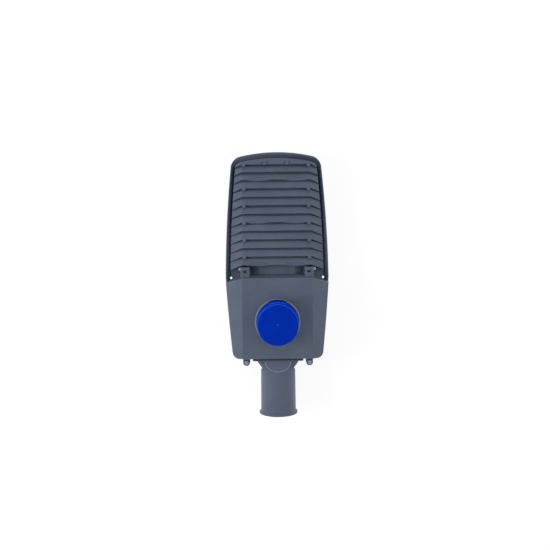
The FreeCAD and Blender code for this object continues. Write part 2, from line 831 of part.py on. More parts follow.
def driver_cover():
    outer = cover_solid(0, cover_bottom_z)
    soft = []
    for edge in outer.Edges:
        low = min(vertex.Point.z for vertex in edge.Vertexes)
        middle = edge.valueAt((edge.FirstParameter + edge.LastParameter) / 2)
        if low > cover_bottom_z + 1.0 and middle.z > cover_edge_z - 2.0:
            soft.append(edge)
    outer = outer.makeFillet(cover_edge_radius, soft)
    rib = seal_ring(seal_rib_width, cover_bottom_z, cover_top_z).common(cover_solid(1.0, cover_bottom_z))
    shell = outer.cut(cover_solid(cover_wall, cover_bottom_z - 1.0)).fuse(rib)
    adds = []
    for side in (-1, 1):
        ear = cylinder(ear_radius, cover_ear_thickness, V(side * ear_x, ear_y, cover_bottom_z))
        web = box(side * ear_x - ear_radius, ear_y, cover_bottom_z,
                  side * ear_x + ear_radius, head_rear_y + cover_wall - 0.5,
                  cover_bottom_z + cover_ear_thickness)
        adds += [ear, web, hinge_block(side)]
        boss = cylinder(receptacle_boss_radius, receptacle_boss_length,
                        V(side * receptacle_screw_x, sensor_y, cover_top_z - receptacle_boss_length))
        adds.append(boss.common(cover_solid(1.0, cover_bottom_z)))
    shell = fuse_all([shell] + adds)
    cutters = [cylinder(receptacle_body_radius + 0.5, 20.0, V(0, sensor_y, cover_top_z - 15.0))]
    for side in (-1, 1):
        cutters.append(cylinder(cover_screw_radius + 0.3, 20.0, V(side * ear_x, ear_y, cover_bottom_z - 1.0)))
        cutters.append(cylinder(hinge_pin_radius, hinge_span + 2.0,
                                V(side * hinge_x - hinge_span / 2 - 1.0, hinge_y, hinge_z), X_AXIS))
        cutters.append(cylinder(receptacle_screw_radius, 9.0,
                                V(side * receptacle_screw_x, sensor_y, cover_top_z - 8.0)))
    return shell.cut(Part.makeCompound(cutters))


def hinge_block(side):
    """Two arms on the cover's front face, with a notch for the housing's lug."""
    x0 = side * hinge_x - hinge_span / 2
    back = cover_front_y - 6.5
    eye = cylinder(hinge_eye_radius, hinge_span, V(x0, hinge_y, hinge_z), X_AXIS)
    web = box(x0, back, hinge_z - hinge_eye_radius,
              x0 + hinge_span, hinge_y, hinge_z + hinge_eye_radius - hinge_web_drop)
    half = hinge_span / 2 - hinge_arm
    round_y = hinge_y - hinge_notch + half
    notch = box(side * hinge_x - half, round_y, hinge_z - 20.0,
                side * hinge_x + half, hinge_y + 20.0, hinge_z + 20.0)
    end = cylinder(half, 40.0, V(side * hinge_x, round_y, hinge_z - 20.0))
    return eye.fuse(web).cut(notch.fuse(end))


def hinge_screw(side):
    """A shoulder screw put in from the outer side."""
    outer_x = hinge_x + hinge_span / 2
    length = hinge_span + 0.2
    shank = cylinder(hinge_pin_radius, length, V(side * (outer_x + 0.05), hinge_y, hinge_z), V(-side, 0, 0))
    head = cylinder(hinge_head_radius, hinge_head_height, V(side * outer_x, hinge_y, hinge_z), V(side, 0, 0))
    tip = side * (outer_x + hinge_head_height)
    slot = box(min(tip, tip - side * 1.2), hinge_y - 5.0, hinge_z - 0.6,
               max(tip, tip - side * 1.2), hinge_y + 5.0, hinge_z + 0.6)
    return shank.fuse(head).cut(slot).removeSplitter()


def cover_screw(side):
    """A slotted screw held in the cover's ear."""
    seat = cover_bottom_z + cover_ear_thickness
    length = seat - (rim_z - cover_screw_engage)
    place = V(side * ear_x, ear_y, seat)
    shank = cylinder(cover_screw_radius, length, place, V(0, 0, -1))
    head = cylinder(cover_head_radius, cover_head_height, place)
    head = head.makeFillet(0.8, [edge for edge in head.Edges if edge.Vertexes[0].Point.z > seat + 1.0
                                 and len(edge.Vertexes) == 1])
    slot = box(side * ear_x - 6.0, ear_y - 0.7, seat + cover_head_height - 1.3,
               side * ear_x + 6.0, ear_y + 0.7, seat + cover_head_height + 1.0)
    return shank.fuse(head).cut(slot).removeSplitter()


def receptacle_gasket():
    return tube(receptacle_ring_radius - 1.0, receptacle_body_radius + 0.5, receptacle_gasket_thickness,
                V(0, sensor_y, cover_top_z)).cut(Part.makeCompound(
                    [cylinder(receptacle_screw_radius + 0.2, 3.0, V(side * receptacle_screw_x, sensor_y,
                                                                    cover_top_z - 1.0)) for side in (-1, 1)]))


def arc_slot(inner, outer, start, span, z0, z1):
    """A curved block about the sensor's axis, from one angle over a span in degrees."""
    face = Part.Face(Part.Wire([
        Part.Arc(polar(outer, start, z0), polar(outer, start + span / 2, z0),
                 polar(outer, start + span, z0)).toShape(),
        Part.makeLine(polar(outer, start + span, z0), polar(inner, start + span, z0)),
        Part.Arc(polar(inner, start + span, z0), polar(inner, start + span / 2, z0),
                 polar(inner, start, z0)).toShape(),
        Part.makeLine(polar(inner, start, z0), polar(outer, start, z0)),
    ]))
    return face.extrude(V(0, 0, z1 - z0))


def polar(radius, angle, z):
    turn = math.radians(angle)
    return V(radius * math.cos(turn), sensor_y + radius * math.sin(turn), z)


def blade_starts():
    return [90.0 + 120.0 * number - blade_span / 2 for number in range(3)]


def receptacle():
    """The twist-lock receptacle: ring, round body and three curved slots."""
    ring_z = cover_top_z + receptacle_gasket_thickness
    ring = cylinder(receptacle_ring_radius, receptacle_ring_height, V(0, sensor_y, ring_z))
    top = [edge for edge in ring.Edges if len(edge.Vertexes) == 1 and edge.Vertexes[0].Point.z > ring_z + 1.0]
    ring = ring.makeFillet(1.5, top)
    body = cylinder(receptacle_body_radius, receptacle_body_drop + 2.0,
                    V(0, sensor_y, ring_z - receptacle_body_drop))
    solid = ring.fuse(body).removeSplitter()
    margin = math.degrees(blade_slot_clearance / blade_circle_radius)
    cutters = []
    slot_low = ring_top_z - blade_length - 3.0
    for start in blade_starts():
        cutters.append(arc_slot(blade_circle_radius - blade_thickness / 2 - blade_slot_clearance,
                                blade_circle_radius + blade_thickness / 2 + blade_slot_clearance
                                + contact_thickness,
                                start - margin, blade_span + 2 * margin + twist_angle,
                                slot_low, ring_top_z + 1.0))
    for side in (-1, 1):
        place = V(side * receptacle_screw_x, sensor_y, ring_z - 2.0)
        cutters.append(cylinder(receptacle_screw_radius + 0.2, 20.0, place))
        cutters.append(cylinder(receptacle_head_radius + 0.6, 20.0,
                                V(side * receptacle_screw_x, sensor_y, ring_top_z - receptacle_head_depth)))
    return solid.cut(Part.makeCompound(cutters))


def receptacle_contacts():
    """Three brass contact strips on the outer wall of the slots."""
    outer = blade_circle_radius + blade_thickness / 2 + blade_slot_clearance + contact_thickness
    low = ring_top_z - blade_length - 3.0
    strips = [arc_slot(outer - contact_thickness, outer, start, blade_span, low, low + contact_height)
              for start in blade_starts()]
    return Part.makeCompound(strips)


def receptacle_screws():
    seat = ring_top_z - receptacle_head_depth
    reach = receptacle_head_radius + 1.0
    slot_half = receptacle_head_slot / 2
    screws = []
    for side in (-1, 1):
        place = V(side * receptacle_screw_x, sensor_y, seat)
        shank = cylinder(receptacle_screw_radius, seat - (cover_top_z - receptacle_screw_end), place,
                         V(0, 0, -1))
        head = cylinder(receptacle_head_radius, receptacle_head_height, place)
        top = seat + receptacle_head_height
        slot = box(place.x - reach, sensor_y - slot_half, top - receptacle_head_slot,
                   place.x + reach, sensor_y + slot_half, top + 1.0)
        screws.append(shank.fuse(head).cut(slot).removeSplitter())
    return Part.makeCompound(screws)


def sensor_gasket():
    return tube(sensor_base_radius - 1.2, sensor_hub_radius + 2.0, sensor_gasket_thickness - 0.3,
                V(0, sensor_y, ring_top_z + 0.3))


def sensor_base():
    """The moulded disc that closes the sensor's shell and carries the blades."""
    disc = sensor_cone(sensor_wall + sensor_base_gap, sensor_base_z, sensor_base_z + sensor_base_thickness)
    hub = cylinder(sensor_hub_radius, sensor_base_z - ring_top_z + 0.7, V(0, sensor_y, ring_top_z + 0.3))
    return disc.fuse(hub).removeSplitter().cut(sensor_blades())


def sensor_blades():
    """Three curved brass blades."""
    inner = blade_circle_radius - blade_thickness / 2
    return Part.makeCompound([arc_slot(inner, inner + blade_thickness, start, blade_span,
                                       ring_top_z - blade_length, sensor_base_z + sensor_base_thickness)
                              for start in blade_starts()])


def sensor_cone(inset, z0, z1):
    def radius(z):
        share = (z - sensor_base_z) / sensor_height
        return sensor_base_radius + (sensor_top_radius - sensor_base_radius) * share - inset

    return Part.makeCone(radius(z0), radius(z1), z1 - z0, V(0, sensor_y, z0), Z_AXIS)


def sensor_shell():
    """The blue shell: a tapered cap with a curved tab on the side towards the tip."""
    top = sensor_base_z + sensor_height
    outer = sensor_cone(0, sensor_base_z, top)
    crown = [edge for edge in outer.Edges if len(edge.Vertexes) == 1 and edge.Vertexes[0].Point.z > top - 0.1]
    outer = outer.makeFillet(sensor_edge_radius, crown)
    tab = Part.makeCone(tab_base_radius, tab_top_radius, tab_height, V(0, sensor_y, sensor_base_z), Z_AXIS)
    tab = tab.common(box(-tab_half_width, sensor_y + 20.0, sensor_base_z,
                         tab_half_width, sensor_y + tab_base_radius + 1.0, sensor_base_z + tab_height))
    top_edges = [edge for edge in tab.Edges
                 if all(abs(vertex.Point.z - sensor_base_z - tab_height) < 0.01 for vertex in edge.Vertexes)
                 and edge.BoundBox.YMin > sensor_y + 25.0]
    tab = tab.makeFillet(tab_edge_radius, top_edges)
    mark = cylinder(gate_mark_radius, gate_mark_height + 1.0, V(0, sensor_y, top - 1.0))
    body = fuse_all([outer, tab, mark])
    return body.cut(sensor_cone(sensor_wall, sensor_base_z - 0.001, top - sensor_wall))


def sensor_board():
    """The sealed circuit inside the sensor, as board, relay and light cell."""
    board_z = sensor_base_z + sensor_base_thickness
    top_z = board_z + sensor_post_height + sensor_board_thickness
    post = cylinder(sensor_post_radius, sensor_post_height, V(0, sensor_y, board_z))
    board = cylinder(sensor_board_radius, sensor_board_thickness,
                     V(0, sensor_y, board_z + sensor_post_height))
    relay = box(-relay_length / 2, sensor_y - relay_width * 0.75, top_z,
                relay_length / 2, sensor_y + relay_width * 0.25, top_z + relay_height)
    cell = cylinder(cell_radius, cell_height, V(0, sensor_y + cell_ahead, top_z))
    return fuse_all([post, board, relay, cell])


def spigot_adapter():
    """One casting: bolted plate, tapering neck with a rounded tongue, and the pole socket."""
    barrel = Part.makeCone(tube_radius + tube_draft, tube_radius, tube_length, V(0, 0, 0), Y_AXIS)
    front = [edge for edge in barrel.Edges if len(edge.Vertexes) == 1
             and edge.Vertexes[0].Point.y > tube_length - 0.1]
    barrel = barrel.makeFillet(shoulder_radius, front)
    bell = cylinder(tube_radius + bell_rise, bell_lip, V(0, 0, 0), Y_AXIS)
    flare = Part.makeCone(tube_radius + bell_rise, tube_radius + tube_draft, bell_length - bell_lip,
                          V(0, bell_lip, 0), Y_AXIS)
    plate = box(-plate_half_width, plate_rear_y, plate_bottom, plate_half_width, plate_front_y, plate_top)
    plate_edges = [edge for edge in plate.Edges
                   if abs(edge.Vertexes[0].Point.y - edge.Vertexes[-1].Point.y) > 1.0]
    plate = plate.makeFillet(plate_corner_radius, plate_edges)
    rear_rim = [edge for edge in plate.Edges
                if all(abs(vertex.Point.y - plate_rear_y) < 0.01 for vertex in edge.Vertexes)]
    plate = plate.makeFillet(1.2, rear_rim)
    shapes = [barrel, bell, flare, plate, neck_block(), tongue()]
    for y in clamp_screw_places:
        shapes.append(cylinder(clamp_boss_radius, tube_radius + clamp_boss_drop - socket_bore_radius,
                               V(0, y, -tube_radius - clamp_boss_drop)))
    body = fuse_all(shapes)
    cutters = [
        cylinder(socket_bore_radius, socket_depth + 1.0, V(0, -1.0, 0), Y_AXIS),
        cylinder(cable_way_radius, plate_front_y + 1.0, V(0, 0, gland_z), Y_AXIS),
    ]
    for y in clamp_screw_places:
        cutters.append(cylinder(clamp_screw_radius, 20.0, V(0, y, -tube_radius - clamp_boss_drop - 1.0)))
    for x, z in bolt_places():
        cutters.append(cylinder(adapter_bolt_radius, adapter_bolt_depth, V(x, plate_front_y, z), V(0, -1, 0)))
    return body.cut(Part.makeCompound(cutters))


def neck_block():
    """The neck: a taper from the plate's square section down to the socket's round end."""
    round_y = tube_length - shoulder_radius
    plate_y = plate_rear_y + 1.0
    radius = tube_radius - neck_sink
    half = neck_end_half
    rise = math.sqrt(radius ** 2 - half ** 2)
    low = [V(-half, round_y, -rise), V(half, round_y, -rise), V(half, round_y, rise), V(-half, round_y, rise)]
    round_end = Part.Wire([Part.Arc(low[0], V(0, round_y, -radius), low[1]).toShape(),
                           Part.makeLine(low[1], low[2]),
                           Part.Arc(low[2], V(0, round_y, radius), low[3]).toShape(),
                           Part.makeLine(low[3], low[0])])
    half = neck_start_half
    high = [V(-half, plate_y, neck_bottom), V(half, plate_y, neck_bottom),
            V(half, plate_y, neck_top), V(-half, plate_y, neck_top)]
    square_end = Part.Wire([Part.makeLine(high[i], high[(i + 1) % 4]) for i in range(4)])
    return Part.makeLoft([round_end, square_end], True, True)


def tongue():
    """The round-nosed fairing on top of the neck."""
    front = plate_rear_y + 1.0
    nose = plate_rear_y - tongue_reach
    centre_y = nose + tongue_reach * 0.95
    ellipse = Part.Ellipse(V(0, centre_y, 0), tongue_half_width, centre_y - nose)
    arc = Part.Arc(ellipse, math.pi, 2 * math.pi).toShape()
    ends = [V(tongue_half_width, centre_y, 0), V(tongue_half_width, front, 0),
            V(-tongue_half_width, front, 0), V(-tongue_half_width, centre_y, 0)]
    outline = Part.Wire([arc] + [Part.makeLine(ends[i], ends[i + 1]) for i in range(3)])
    block = Part.Face(outline).extrude(V(0, 0, tongue_top + 10.0))
    start = plate_rear_y - tongue_nose_start
    end = nose - 2.0
    run = start - end
    fall = tongue_nose_radius - math.sqrt(tongue_nose_radius ** 2 - run ** 2)
    half_fall = tongue_nose_radius - math.sqrt(tongue_nose_radius ** 2 - (run / 2) ** 2)
    profile = Part.Wire([
        Part.makeLine(V(-far, front, -5), V(-far, front, tongue_top)),
        Part.makeLine(V(-far, front, tongue_top), V(-far, start, tongue_top)),
        Part.Arc(V(-far, start, tongue_top), V(-far, start - run / 2, tongue_top - half_fall),
                 V(-far, end, tongue_top - fall)).toShape(),
        Part.makeLine(V(-far, end, tongue_top - fall), V(-far, end, -5)),
        Part.makeLine(V(-far, end, -5), V(-far, front, -5)),
    ])
    block = block.common(Part.Face(profile).extrude(V(2 * far, 0, 0)))
    rim = [edge for edge in block.Edges if edge.BoundBox.ZMin > 5.0 and abs(edge.CenterOfMass.x) > 3.0
           and edge.BoundBox.YLength > 1.0 and edge.BoundBox.ZMax > tongue_top - fall - 0.01
           and edge.BoundBox.ZLength < fall + 0.1 and edge.BoundBox.XLength < tongue_half_width * 2]
    return block.makeFillet(tongue_edge_radius, rim)


def adapter_gasket():
    """A flat gasket between the housing's rear pad and the adapter's plate."""
    sheet = box(-plate_half_width, plate_front_y, plate_bottom, plate_half_width, head_rear_y, rim_z - 1.0)
    holes = [cylinder(adapter_bolt_radius + 0.4, 10.0, V(x, plate_front_y - 1.0, z), Y_AXIS)
             for x, z in bolt_places()]
    holes.append(cylinder(cable_way_radius, 10.0, V(0, plate_front_y - 1.0, gland_z), Y_AXIS))
    return sheet.cut(Part.makeCompound(holes))


def adapter_bolts():
    """Hexagon bolts put in from inside the driver bay."""
    seat = head_rear_y + alcove_back + 1.6
    bolts = []
    for x, z in bolt_places():
        place = V(x, seat, z)
        length = seat - (plate_front_y - adapter_bolt_depth + 1.0)
        shank = cylinder(adapter_bolt_radius, length, place, V(0, -1, 0))
        bolts.append(shank.fuse(hexagon(13.0, 5.3, place, Y_AXIS)).removeSplitter())
    return Part.makeCompound(bolts)


def adapter_washers():
    seat = head_rear_y + alcove_back
    return Part.makeCompound([tube(8.0, adapter_bolt_radius + 0.3, 1.6, V(x, seat, z), Y_AXIS)
                              for x, z in bolt_places()])


def clamp_screws():
    """Set screws that grip the pole, wound back flush with the bore."""
    screws = []
    for y in clamp_screw_places:
        low = -tube_radius - clamp_boss_drop + 1.0
        length = -socket_bore_radius - 0.8 - low
        body = cylinder(clamp_screw_radius, length, V(0, y, low))
        screws.append(body.cut(hexagon(4.0, 4.0, V(0, y, low), Z_AXIS)))
    return Part.makeCompound(screws)


def lens_frame():
    """The pressed frame that holds the glass, fixed with eight screws."""
    z0 = underside_z + frame_recess
    z1 = z0 + frame_thickness
    inset = body_bottom_inset + frame_lip
    outer = lamp_outline_block(inset, frame_front_back, z0, z1, frame_corner_radius)
    window = lamp_outline_block(inset + frame_width, frame_front_back + frame_width, z0 - 1.0, z1 + 1.0,
                                frame_corner_radius - 4.0)
    holes = []
    for x, y in frame_places():
        holes.append(cylinder(frame_screw_radius + 0.2, frame_thickness + 2.0, V(x, y, z0 - 1.0)))
        holes.append(cylinder(frame_head_radius + 0.3, frame_head_height, V(x, y, z0)))
    return outer.cut(window).cut(Part.makeCompound(holes))


def frame_screws():
    screws = []
    for x, y in frame_places():
        seat = underside_z + frame_recess + frame_head_height
        face = V(x, y, seat - frame_head_height + 0.3)
        head = cylinder(frame_head_radius, frame_head_height - 0.3, face)
        shank = cylinder(frame_screw_radius, frame_screw_length, V(x, y, seat))
        socket = hexagon(frame_socket_across, frame_socket_depth, face, Z_AXIS)
        screws.append(head.fuse(shank).cut(socket).removeSplitter())
    return Part.makeCompound(screws)


def glass_block(z0, z1):
    return lamp_outline_block(glass_inset(), frame_front_back + glass_margin, z0, z1,
                              frame_corner_radius - 2.0)


def glass_panel():
    z0 = underside_z + frame_recess + frame_thickness
    return glass_block(z0, z0 + glass_thickness)


def glass_seal():
    """A flat silicone ring between the glass and its seat."""
    z0 = underside_z + frame_recess + frame_thickness + glass_thickness
    z1 = z0 + glass_seal_thickness
    hole = lamp_outline_block(recess_inset(), recess_back(), z0 - 1.0, z1 + 1.0, frame_corner_radius - 4.0)
    return glass_block(z0, z1).cut(hole)


def board_front_back():
    return shoulder_back - recess_inset() - board_front_gap


def board_width():
    """As wide as the recess allows at the board's front end."""
    return side_half(board_front_back()) - recess_inset() - board_side_gap - board_half_gap


def board_length():
    return board_front_back() - recess_back() - board_rear_gap


def board_x(side):
    return side * (board_half_gap + board_width() / 2)


def board_y():
    return head_rear_y + recess_back() + board_rear_gap


def led_places(side):
    """The lamps of one board, in columns and rows."""
    places = []
    for column in range(led_columns):
        x = board_x(side) + (column - (led_columns - 1) / 2) * board_width() / led_columns
        for row in range(led_rows):
            places.append((x, board_y() + (row + 0.5) * board_length() / led_rows))
    return places


def board_screw_places():
    places = []
    for side in (-1, 1):
        for share in (0.0, 0.5, 1.0):
            places.append((board_x(side), board_y() + 4.0 + share * (board_length() - 8.0)))
    return places


def board_screw_holes(radius):
    return Part.makeCompound([cylinder(radius, 20.0, V(x, y, lamp_ceiling_z - 15.0))
                              for x, y in board_screw_places()])


def led_board(side):
    """An aluminium-backed circuit board."""
    x = board_x(side)
    board = box(x - board_width() / 2, board_y(), lamp_ceiling_z - board_thickness,
                x + board_width() / 2, board_y() + board_length(), lamp_ceiling_z)
    return board.cut(board_screw_holes(board_screw_radius + 0.1))


def led_chips():
    top = lamp_ceiling_z - board_thickness
    return Part.makeCompound([box(x - led_size / 2, y - led_size / 2, top - led_thickness,
                                  x + led_size / 2, y + led_size / 2, top)
                              for side in (-1, 1) for x, y in led_places(side)])


def lens_plate(side):
    """A clear moulded plate with one lens over each lamp."""
    x = board_x(side)
    half = board_width() / 2
    base_z = lamp_ceiling_z - board_thickness
    face_z = base_z - led_thickness - 0.6
    front_y = board_y() + board_length()
    outer = box(x - half, board_y(), face_z - lens_plate_thickness, x + half, front_y, base_z)
    inner = box(x - half + lens_rim, board_y() + lens_rim, face_z,
                x + half - lens_rim, front_y - lens_rim, base_z)
    lenses = [Part.makeCone(lens_base_radius, lens_top_radius, lens_height,
                            V(lx, ly, face_z - lens_plate_thickness), V(0, 0, -1))
              for lx, ly in led_places(side)]
    bosses = [cylinder(4.0, base_z - face_z + 0.5, V(sx, sy, face_z - 0.5))
              for sx, sy in board_screw_places() if abs(sx - x) < 1.0]
    plate = fuse_all([outer.cut(inner)] + lenses + bosses)
    return plate.cut(board_screw_holes(board_screw_radius + 0.2))


def board_screws():
    seat = lamp_ceiling_z - board_thickness - led_thickness - 0.6 - lens_plate_thickness
    screws = []
    for x, y in board_screw_places():
        head = cylinder(board_head_radius, board_head_height, V(x, y, seat), V(0, 0, -1))
        shank = cylinder(board_screw_radius, lamp_ceiling_z + 4.0 - seat, V(x, y, seat))
        screws.append(head.fuse(shank).removeSplitter())
    return Part.makeCompound(screws)


def gear_tray():
    """The steel plate that carries the driver and the terminals."""
    y0 = head_rear_y + gear_start_back
    plate = box(-tray_half_width, y0, tray_z, tray_half_width, y0 + tray_length, tray_z + tray_thickness)
    upright = [edge for edge in plate.Edges
               if abs(edge.Vertexes[0].Point.z - edge.Vertexes[-1].Point.z) > 1.0]
    plate = plate.makeFillet(4.0, upright)
    return plate.cut(Part.makeCompound([cylinder(tray_screw_radius + 0.3, 5.0, V(x, y, tray_z - 1.0))
                                        for x, y in tray_places()]))


def tray_screws():
    seat = tray_z + tray_thickness
    return Part.makeCompound([
        cylinder(tray_head_radius, tray_head_height, V(x, y, seat)).fuse(
            cylinder(tray_screw_radius, tray_thickness + 3.5, V(x, y, seat), V(0, 0, -1))).removeSplitter()
        for x, y in tray_places()])


def gear_z():
    return tray_z + tray_thickness


def driver_place():
    """The driver's lower y edge: it lies across the bay, behind its front wall."""
    return bay_front_y - driver_gap - driver_width


def led_driver():
    y0 = driver_place()
    reach = driver_half_length - driver_cap_length
    case = box(-reach, y0, gear_z(), reach, y0 + driver_width, gear_z() + driver_height)
    long_edges = [edge for edge in case.Edges
                  if abs(edge.Vertexes[0].Point.x - edge.Vertexes[-1].Point.x) > 10.0]
    return case.makeFillet(driver_edge_radius, long_edges)


def driver_end_caps():
    """The two moulded ends of the driver's case."""
    y0 = driver_place()
    ends = []
    for side in (-1, 1):
        x0 = side * (driver_half_length - driver_cap_length)
        x1 = side * driver_half_length
        cap = box(min(x0, x1), y0 + 1.0, gear_z(), max(x0, x1), y0 + driver_width - 1.0,
                  gear_z() + driver_height - 1.0)
        ends.append(cap)
    return Part.makeCompound(ends)


def surge_protector():
    y0 = driver_place() - row_gap - surge_width
    block = box(surge_x - surge_length / 2, y0, gear_z(), surge_x + surge_length / 2, y0 + surge_width,
                gear_z() + surge_height)
    upright = [edge for edge in block.Edges
               if abs(edge.Vertexes[0].Point.z - edge.Vertexes[-1].Point.z) > 1.0]
    return block.makeFillet(3.0, upright)


def terminal_y():
    return driver_place() - row_gap - terminal_width


def terminal_pitch():
    return terminal_length / terminal_ways


def terminal_holes():
    start_x = terminal_x - terminal_length / 2
    y = terminal_y() + terminal_width / 2
    return [(start_x + (way + 0.5) * terminal_pitch(), y) for way in range(terminal_ways)]


def terminal_block():
    """A screw terminal block with a stepped face and one well for each screw."""
    z0 = gear_z()
    x0 = terminal_x - terminal_length / 2
    x1 = x0 + terminal_length
    y0 = terminal_y()
    y1 = y0 + terminal_width
    step = terminal_height * 0.55
    ledge = terminal_width * 0.22
    block = side_profile([(y0, z0), (y1, z0), (y1, z0 + step), (y1 - ledge, z0 + step),
                          (y1 - ledge, z0 + terminal_height), (y0 + ledge, z0 + terminal_height),
                          (y0 + ledge, z0 + step), (y0, z0 + step)], x0, x1)
    cutters = []
    for x, y in terminal_holes():
        cutters.append(cylinder(3.0, 9.0, V(x, y, z0 + terminal_height - 8.0)))
        cutters.append(cylinder(2.0, terminal_width + 2.0, V(x, y0 - 1.0, z0 + step * 0.5), Y_AXIS))
    return block.cut(Part.makeCompound(cutters))


def terminal_screws():
    z0 = gear_z() + terminal_height - 8.0
    screws = []
    for x, y in terminal_holes():
        body = cylinder(2.7, 3.0, V(x, y, z0))
        screws.append(body.cut(box(x - 3.0, y - 0.4, z0 + 2.0, x + 3.0, y + 0.4, z0 + 4.0)))
    return Part.makeCompound(screws)


def earth_screw():
    """The earth stud's screw on the gear tray, with its washer face."""
    y = driver_place() - row_gap - 8.0
    head = hexagon(8.0, 3.5, V(earth_screw_x, y, gear_z() + 1.0), Z_AXIS)
    washer = cylinder(5.0, 1.0, V(earth_screw_x, y, gear_z()))
    return head.fuse(washer).removeSplitter()


def cable_gland():
    """The gland's body, behind the housing's rear wall, with its thread through it."""
    y0 = head_rear_y
    body = hexagon(gland_body_across, gland_body_length, V(0, y0, gland_z), V(0, -1, 0))
    thread = cylinder(gland_thread_radius, alcove_back + gland_nut_height + 2.0, V(0, y0, gland_z), Y_AXIS)
    dome = Part.makeCone(gland_body_across / 2, gland_bore_radius + 2.5, 6.0,
                         V(0, y0 - gland_body_length, gland_z), V(0, -1, 0))
    solid = fuse_all([body, thread, dome])
    start = V(0, y0 - rear_hole_length, gland_z)
    return solid.cut(cylinder(gland_bore_radius, 2 * rear_hole_length, start, Y_AXIS))


def gland_nut():
    nut = hexagon(gland_nut_across, gland_nut_height, V(0, head_rear_y + alcove_back, gland_z), Y_AXIS)
    return nut.cut(cylinder(gland_thread_radius, 20.0, V(0, head_rear_y, gland_z), Y_AXIS))


def breather_vent():
    """A screw-in vent in a recess of the bay's floor."""
    y = head_rear_y + vent_back
    top = underside_z + vent_recess_depth
    cap = cylinder(vent_radius, vent_height, V(vent_x, y, top - vent_height))
    stem = cylinder(vent_thread_radius - 0.05, bay_floor_z - top + 2.0, V(vent_x, y, top))
    return cap.fuse(stem).removeSplitter()


NODES = {
    "housing": housing,
    "driver_cover": driver_cover,
    "cover_seal": cover_seal,
    "hinge_screw_left": lambda: hinge_screw(-1),
    "hinge_screw_right": lambda: hinge_screw(1),
    "cover_screw_left": lambda: cover_screw(-1),
    "cover_screw_right": lambda: cover_screw(1),
    "receptacle": receptacle,
    "receptacle_gasket": receptacle_gasket,
    "receptacle_contacts": receptacle_contacts,
    "receptacle_screws": receptacle_screws,
    "sensor_shell": sensor_shell,
    "sensor_base": sensor_base,
    "sensor_gasket": sensor_gasket,
    "sensor_blades": sensor_blades,
    "sensor_board": sensor_board,
    "spigot_adapter": spigot_adapter,
    "adapter_gasket": adapter_gasket,
    "adapter_bolts": adapter_bolts,
    "adapter_washers": adapter_washers,
    "clamp_screws": clamp_screws,
    "lens_frame": lens_frame,
    "frame_screws": frame_screws,
    "glass_panel": glass_panel,
    "glass_seal": glass_seal,
    "led_board_left": lambda: led_board(-1),
    "led_board_right": lambda: led_board(1),
    "led_chips": led_chips,
    "lens_plate_left": lambda: lens_plate(-1),
    "lens_plate_right": lambda: lens_plate(1),
    "board_screws": board_screws,
    "gear_tray": gear_tray,
    "tray_screws": tray_screws,
    "led_driver": led_driver,
    "driver_end_caps": driver_end_caps,
    "surge_protector": surge_protector,
    "terminal_block": terminal_block,
    "terminal_screws": terminal_screws,
    "earth_screw": earth_screw,
    "cable_gland": cable_gland,
    "gland_nut": gland_nut,
    "breather_vent": breather_vent,
}


def main():
    os.makedirs("parts", exist_ok=True)
    for name, make in NODES.items():
        shape = make()
        if not shape.isValid():
            print("not valid:", name)
        print(name, len(shape.Solids), round(shape.Volume / 1000.0, 2), "cm3")
        shape.exportStep(f"parts/{name}.step")


main()
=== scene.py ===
"""Looks of the LED street light head: finishes, small fittings, light and camera.

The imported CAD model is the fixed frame. Each sub-assembly is a class that holds the sizes
of its own small pieces and says which finish each of its pieces wears. Lengths are metres
unless a name ends in _mm, and colours are sRGB hex values.
"""

import logging
import math
from dataclasses import dataclass
from enum import Enum
from typing import Any

import bmesh
import bpy
from mathutils import Matrix, Vector

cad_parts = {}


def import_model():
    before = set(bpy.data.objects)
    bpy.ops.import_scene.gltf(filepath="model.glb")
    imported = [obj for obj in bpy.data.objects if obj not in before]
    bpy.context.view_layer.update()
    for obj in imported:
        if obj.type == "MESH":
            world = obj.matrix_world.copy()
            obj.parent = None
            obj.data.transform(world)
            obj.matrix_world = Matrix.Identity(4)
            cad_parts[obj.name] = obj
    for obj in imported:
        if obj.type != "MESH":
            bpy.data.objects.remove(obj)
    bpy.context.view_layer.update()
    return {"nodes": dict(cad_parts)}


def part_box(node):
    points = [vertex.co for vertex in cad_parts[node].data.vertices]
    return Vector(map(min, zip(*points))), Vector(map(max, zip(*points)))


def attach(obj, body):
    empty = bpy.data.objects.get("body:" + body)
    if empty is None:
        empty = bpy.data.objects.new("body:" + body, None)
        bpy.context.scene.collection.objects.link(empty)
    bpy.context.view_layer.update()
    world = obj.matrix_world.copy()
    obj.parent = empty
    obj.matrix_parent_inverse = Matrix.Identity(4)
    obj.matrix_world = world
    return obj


LOG = logging.getLogger("street_light")

Tree = bpy.types.NodeTree
Node = bpy.types.Node
Socket = bpy.types.NodeSocket
Span = tuple[float, float]
Triple = tuple[float, float, float]

MM_PER_METRE = 1000.0
# The sRGB standard's curve: a straight line near black, and a power above it.
SRGB_KNEE = 0.04045
SRGB_SLOPE = 12.92
SRGB_OFFSET = 0.055
SRGB_POWER = 2.4
FULL: Span = (0.0, 1.0)
# Most values of Blender's noise lie in this range.
NOISE_RANGE: Span = (0.35, 0.65)
# How far the rounded normal agrees with the face's own, from on an edge to off it.
EDGE_RANGE: Span = (0.86, 0.995)
EDGE_SAMPLES = 6
CREVICE_SAMPLES = 8
# Corners of a mesh that are closer than this are one corner.
SAME_CORNER = 1e-6
SORT_DIGITS = 5
ROUND_STEPS = 3
ROUND_PROFILE = 0.5
TURNED_STEPS = 24
BEAD_SIDES = 10
BEAD_END_SHARE = 0.55
BOTH_SIDES: Span = (-1.0, 1.0)
UP = Vector((0.0, 0.0, 1.0))


class Body(Enum):
    """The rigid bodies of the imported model."""

    HEAD = "head"
    COVER = "cover"
    SENSOR = "sensor"


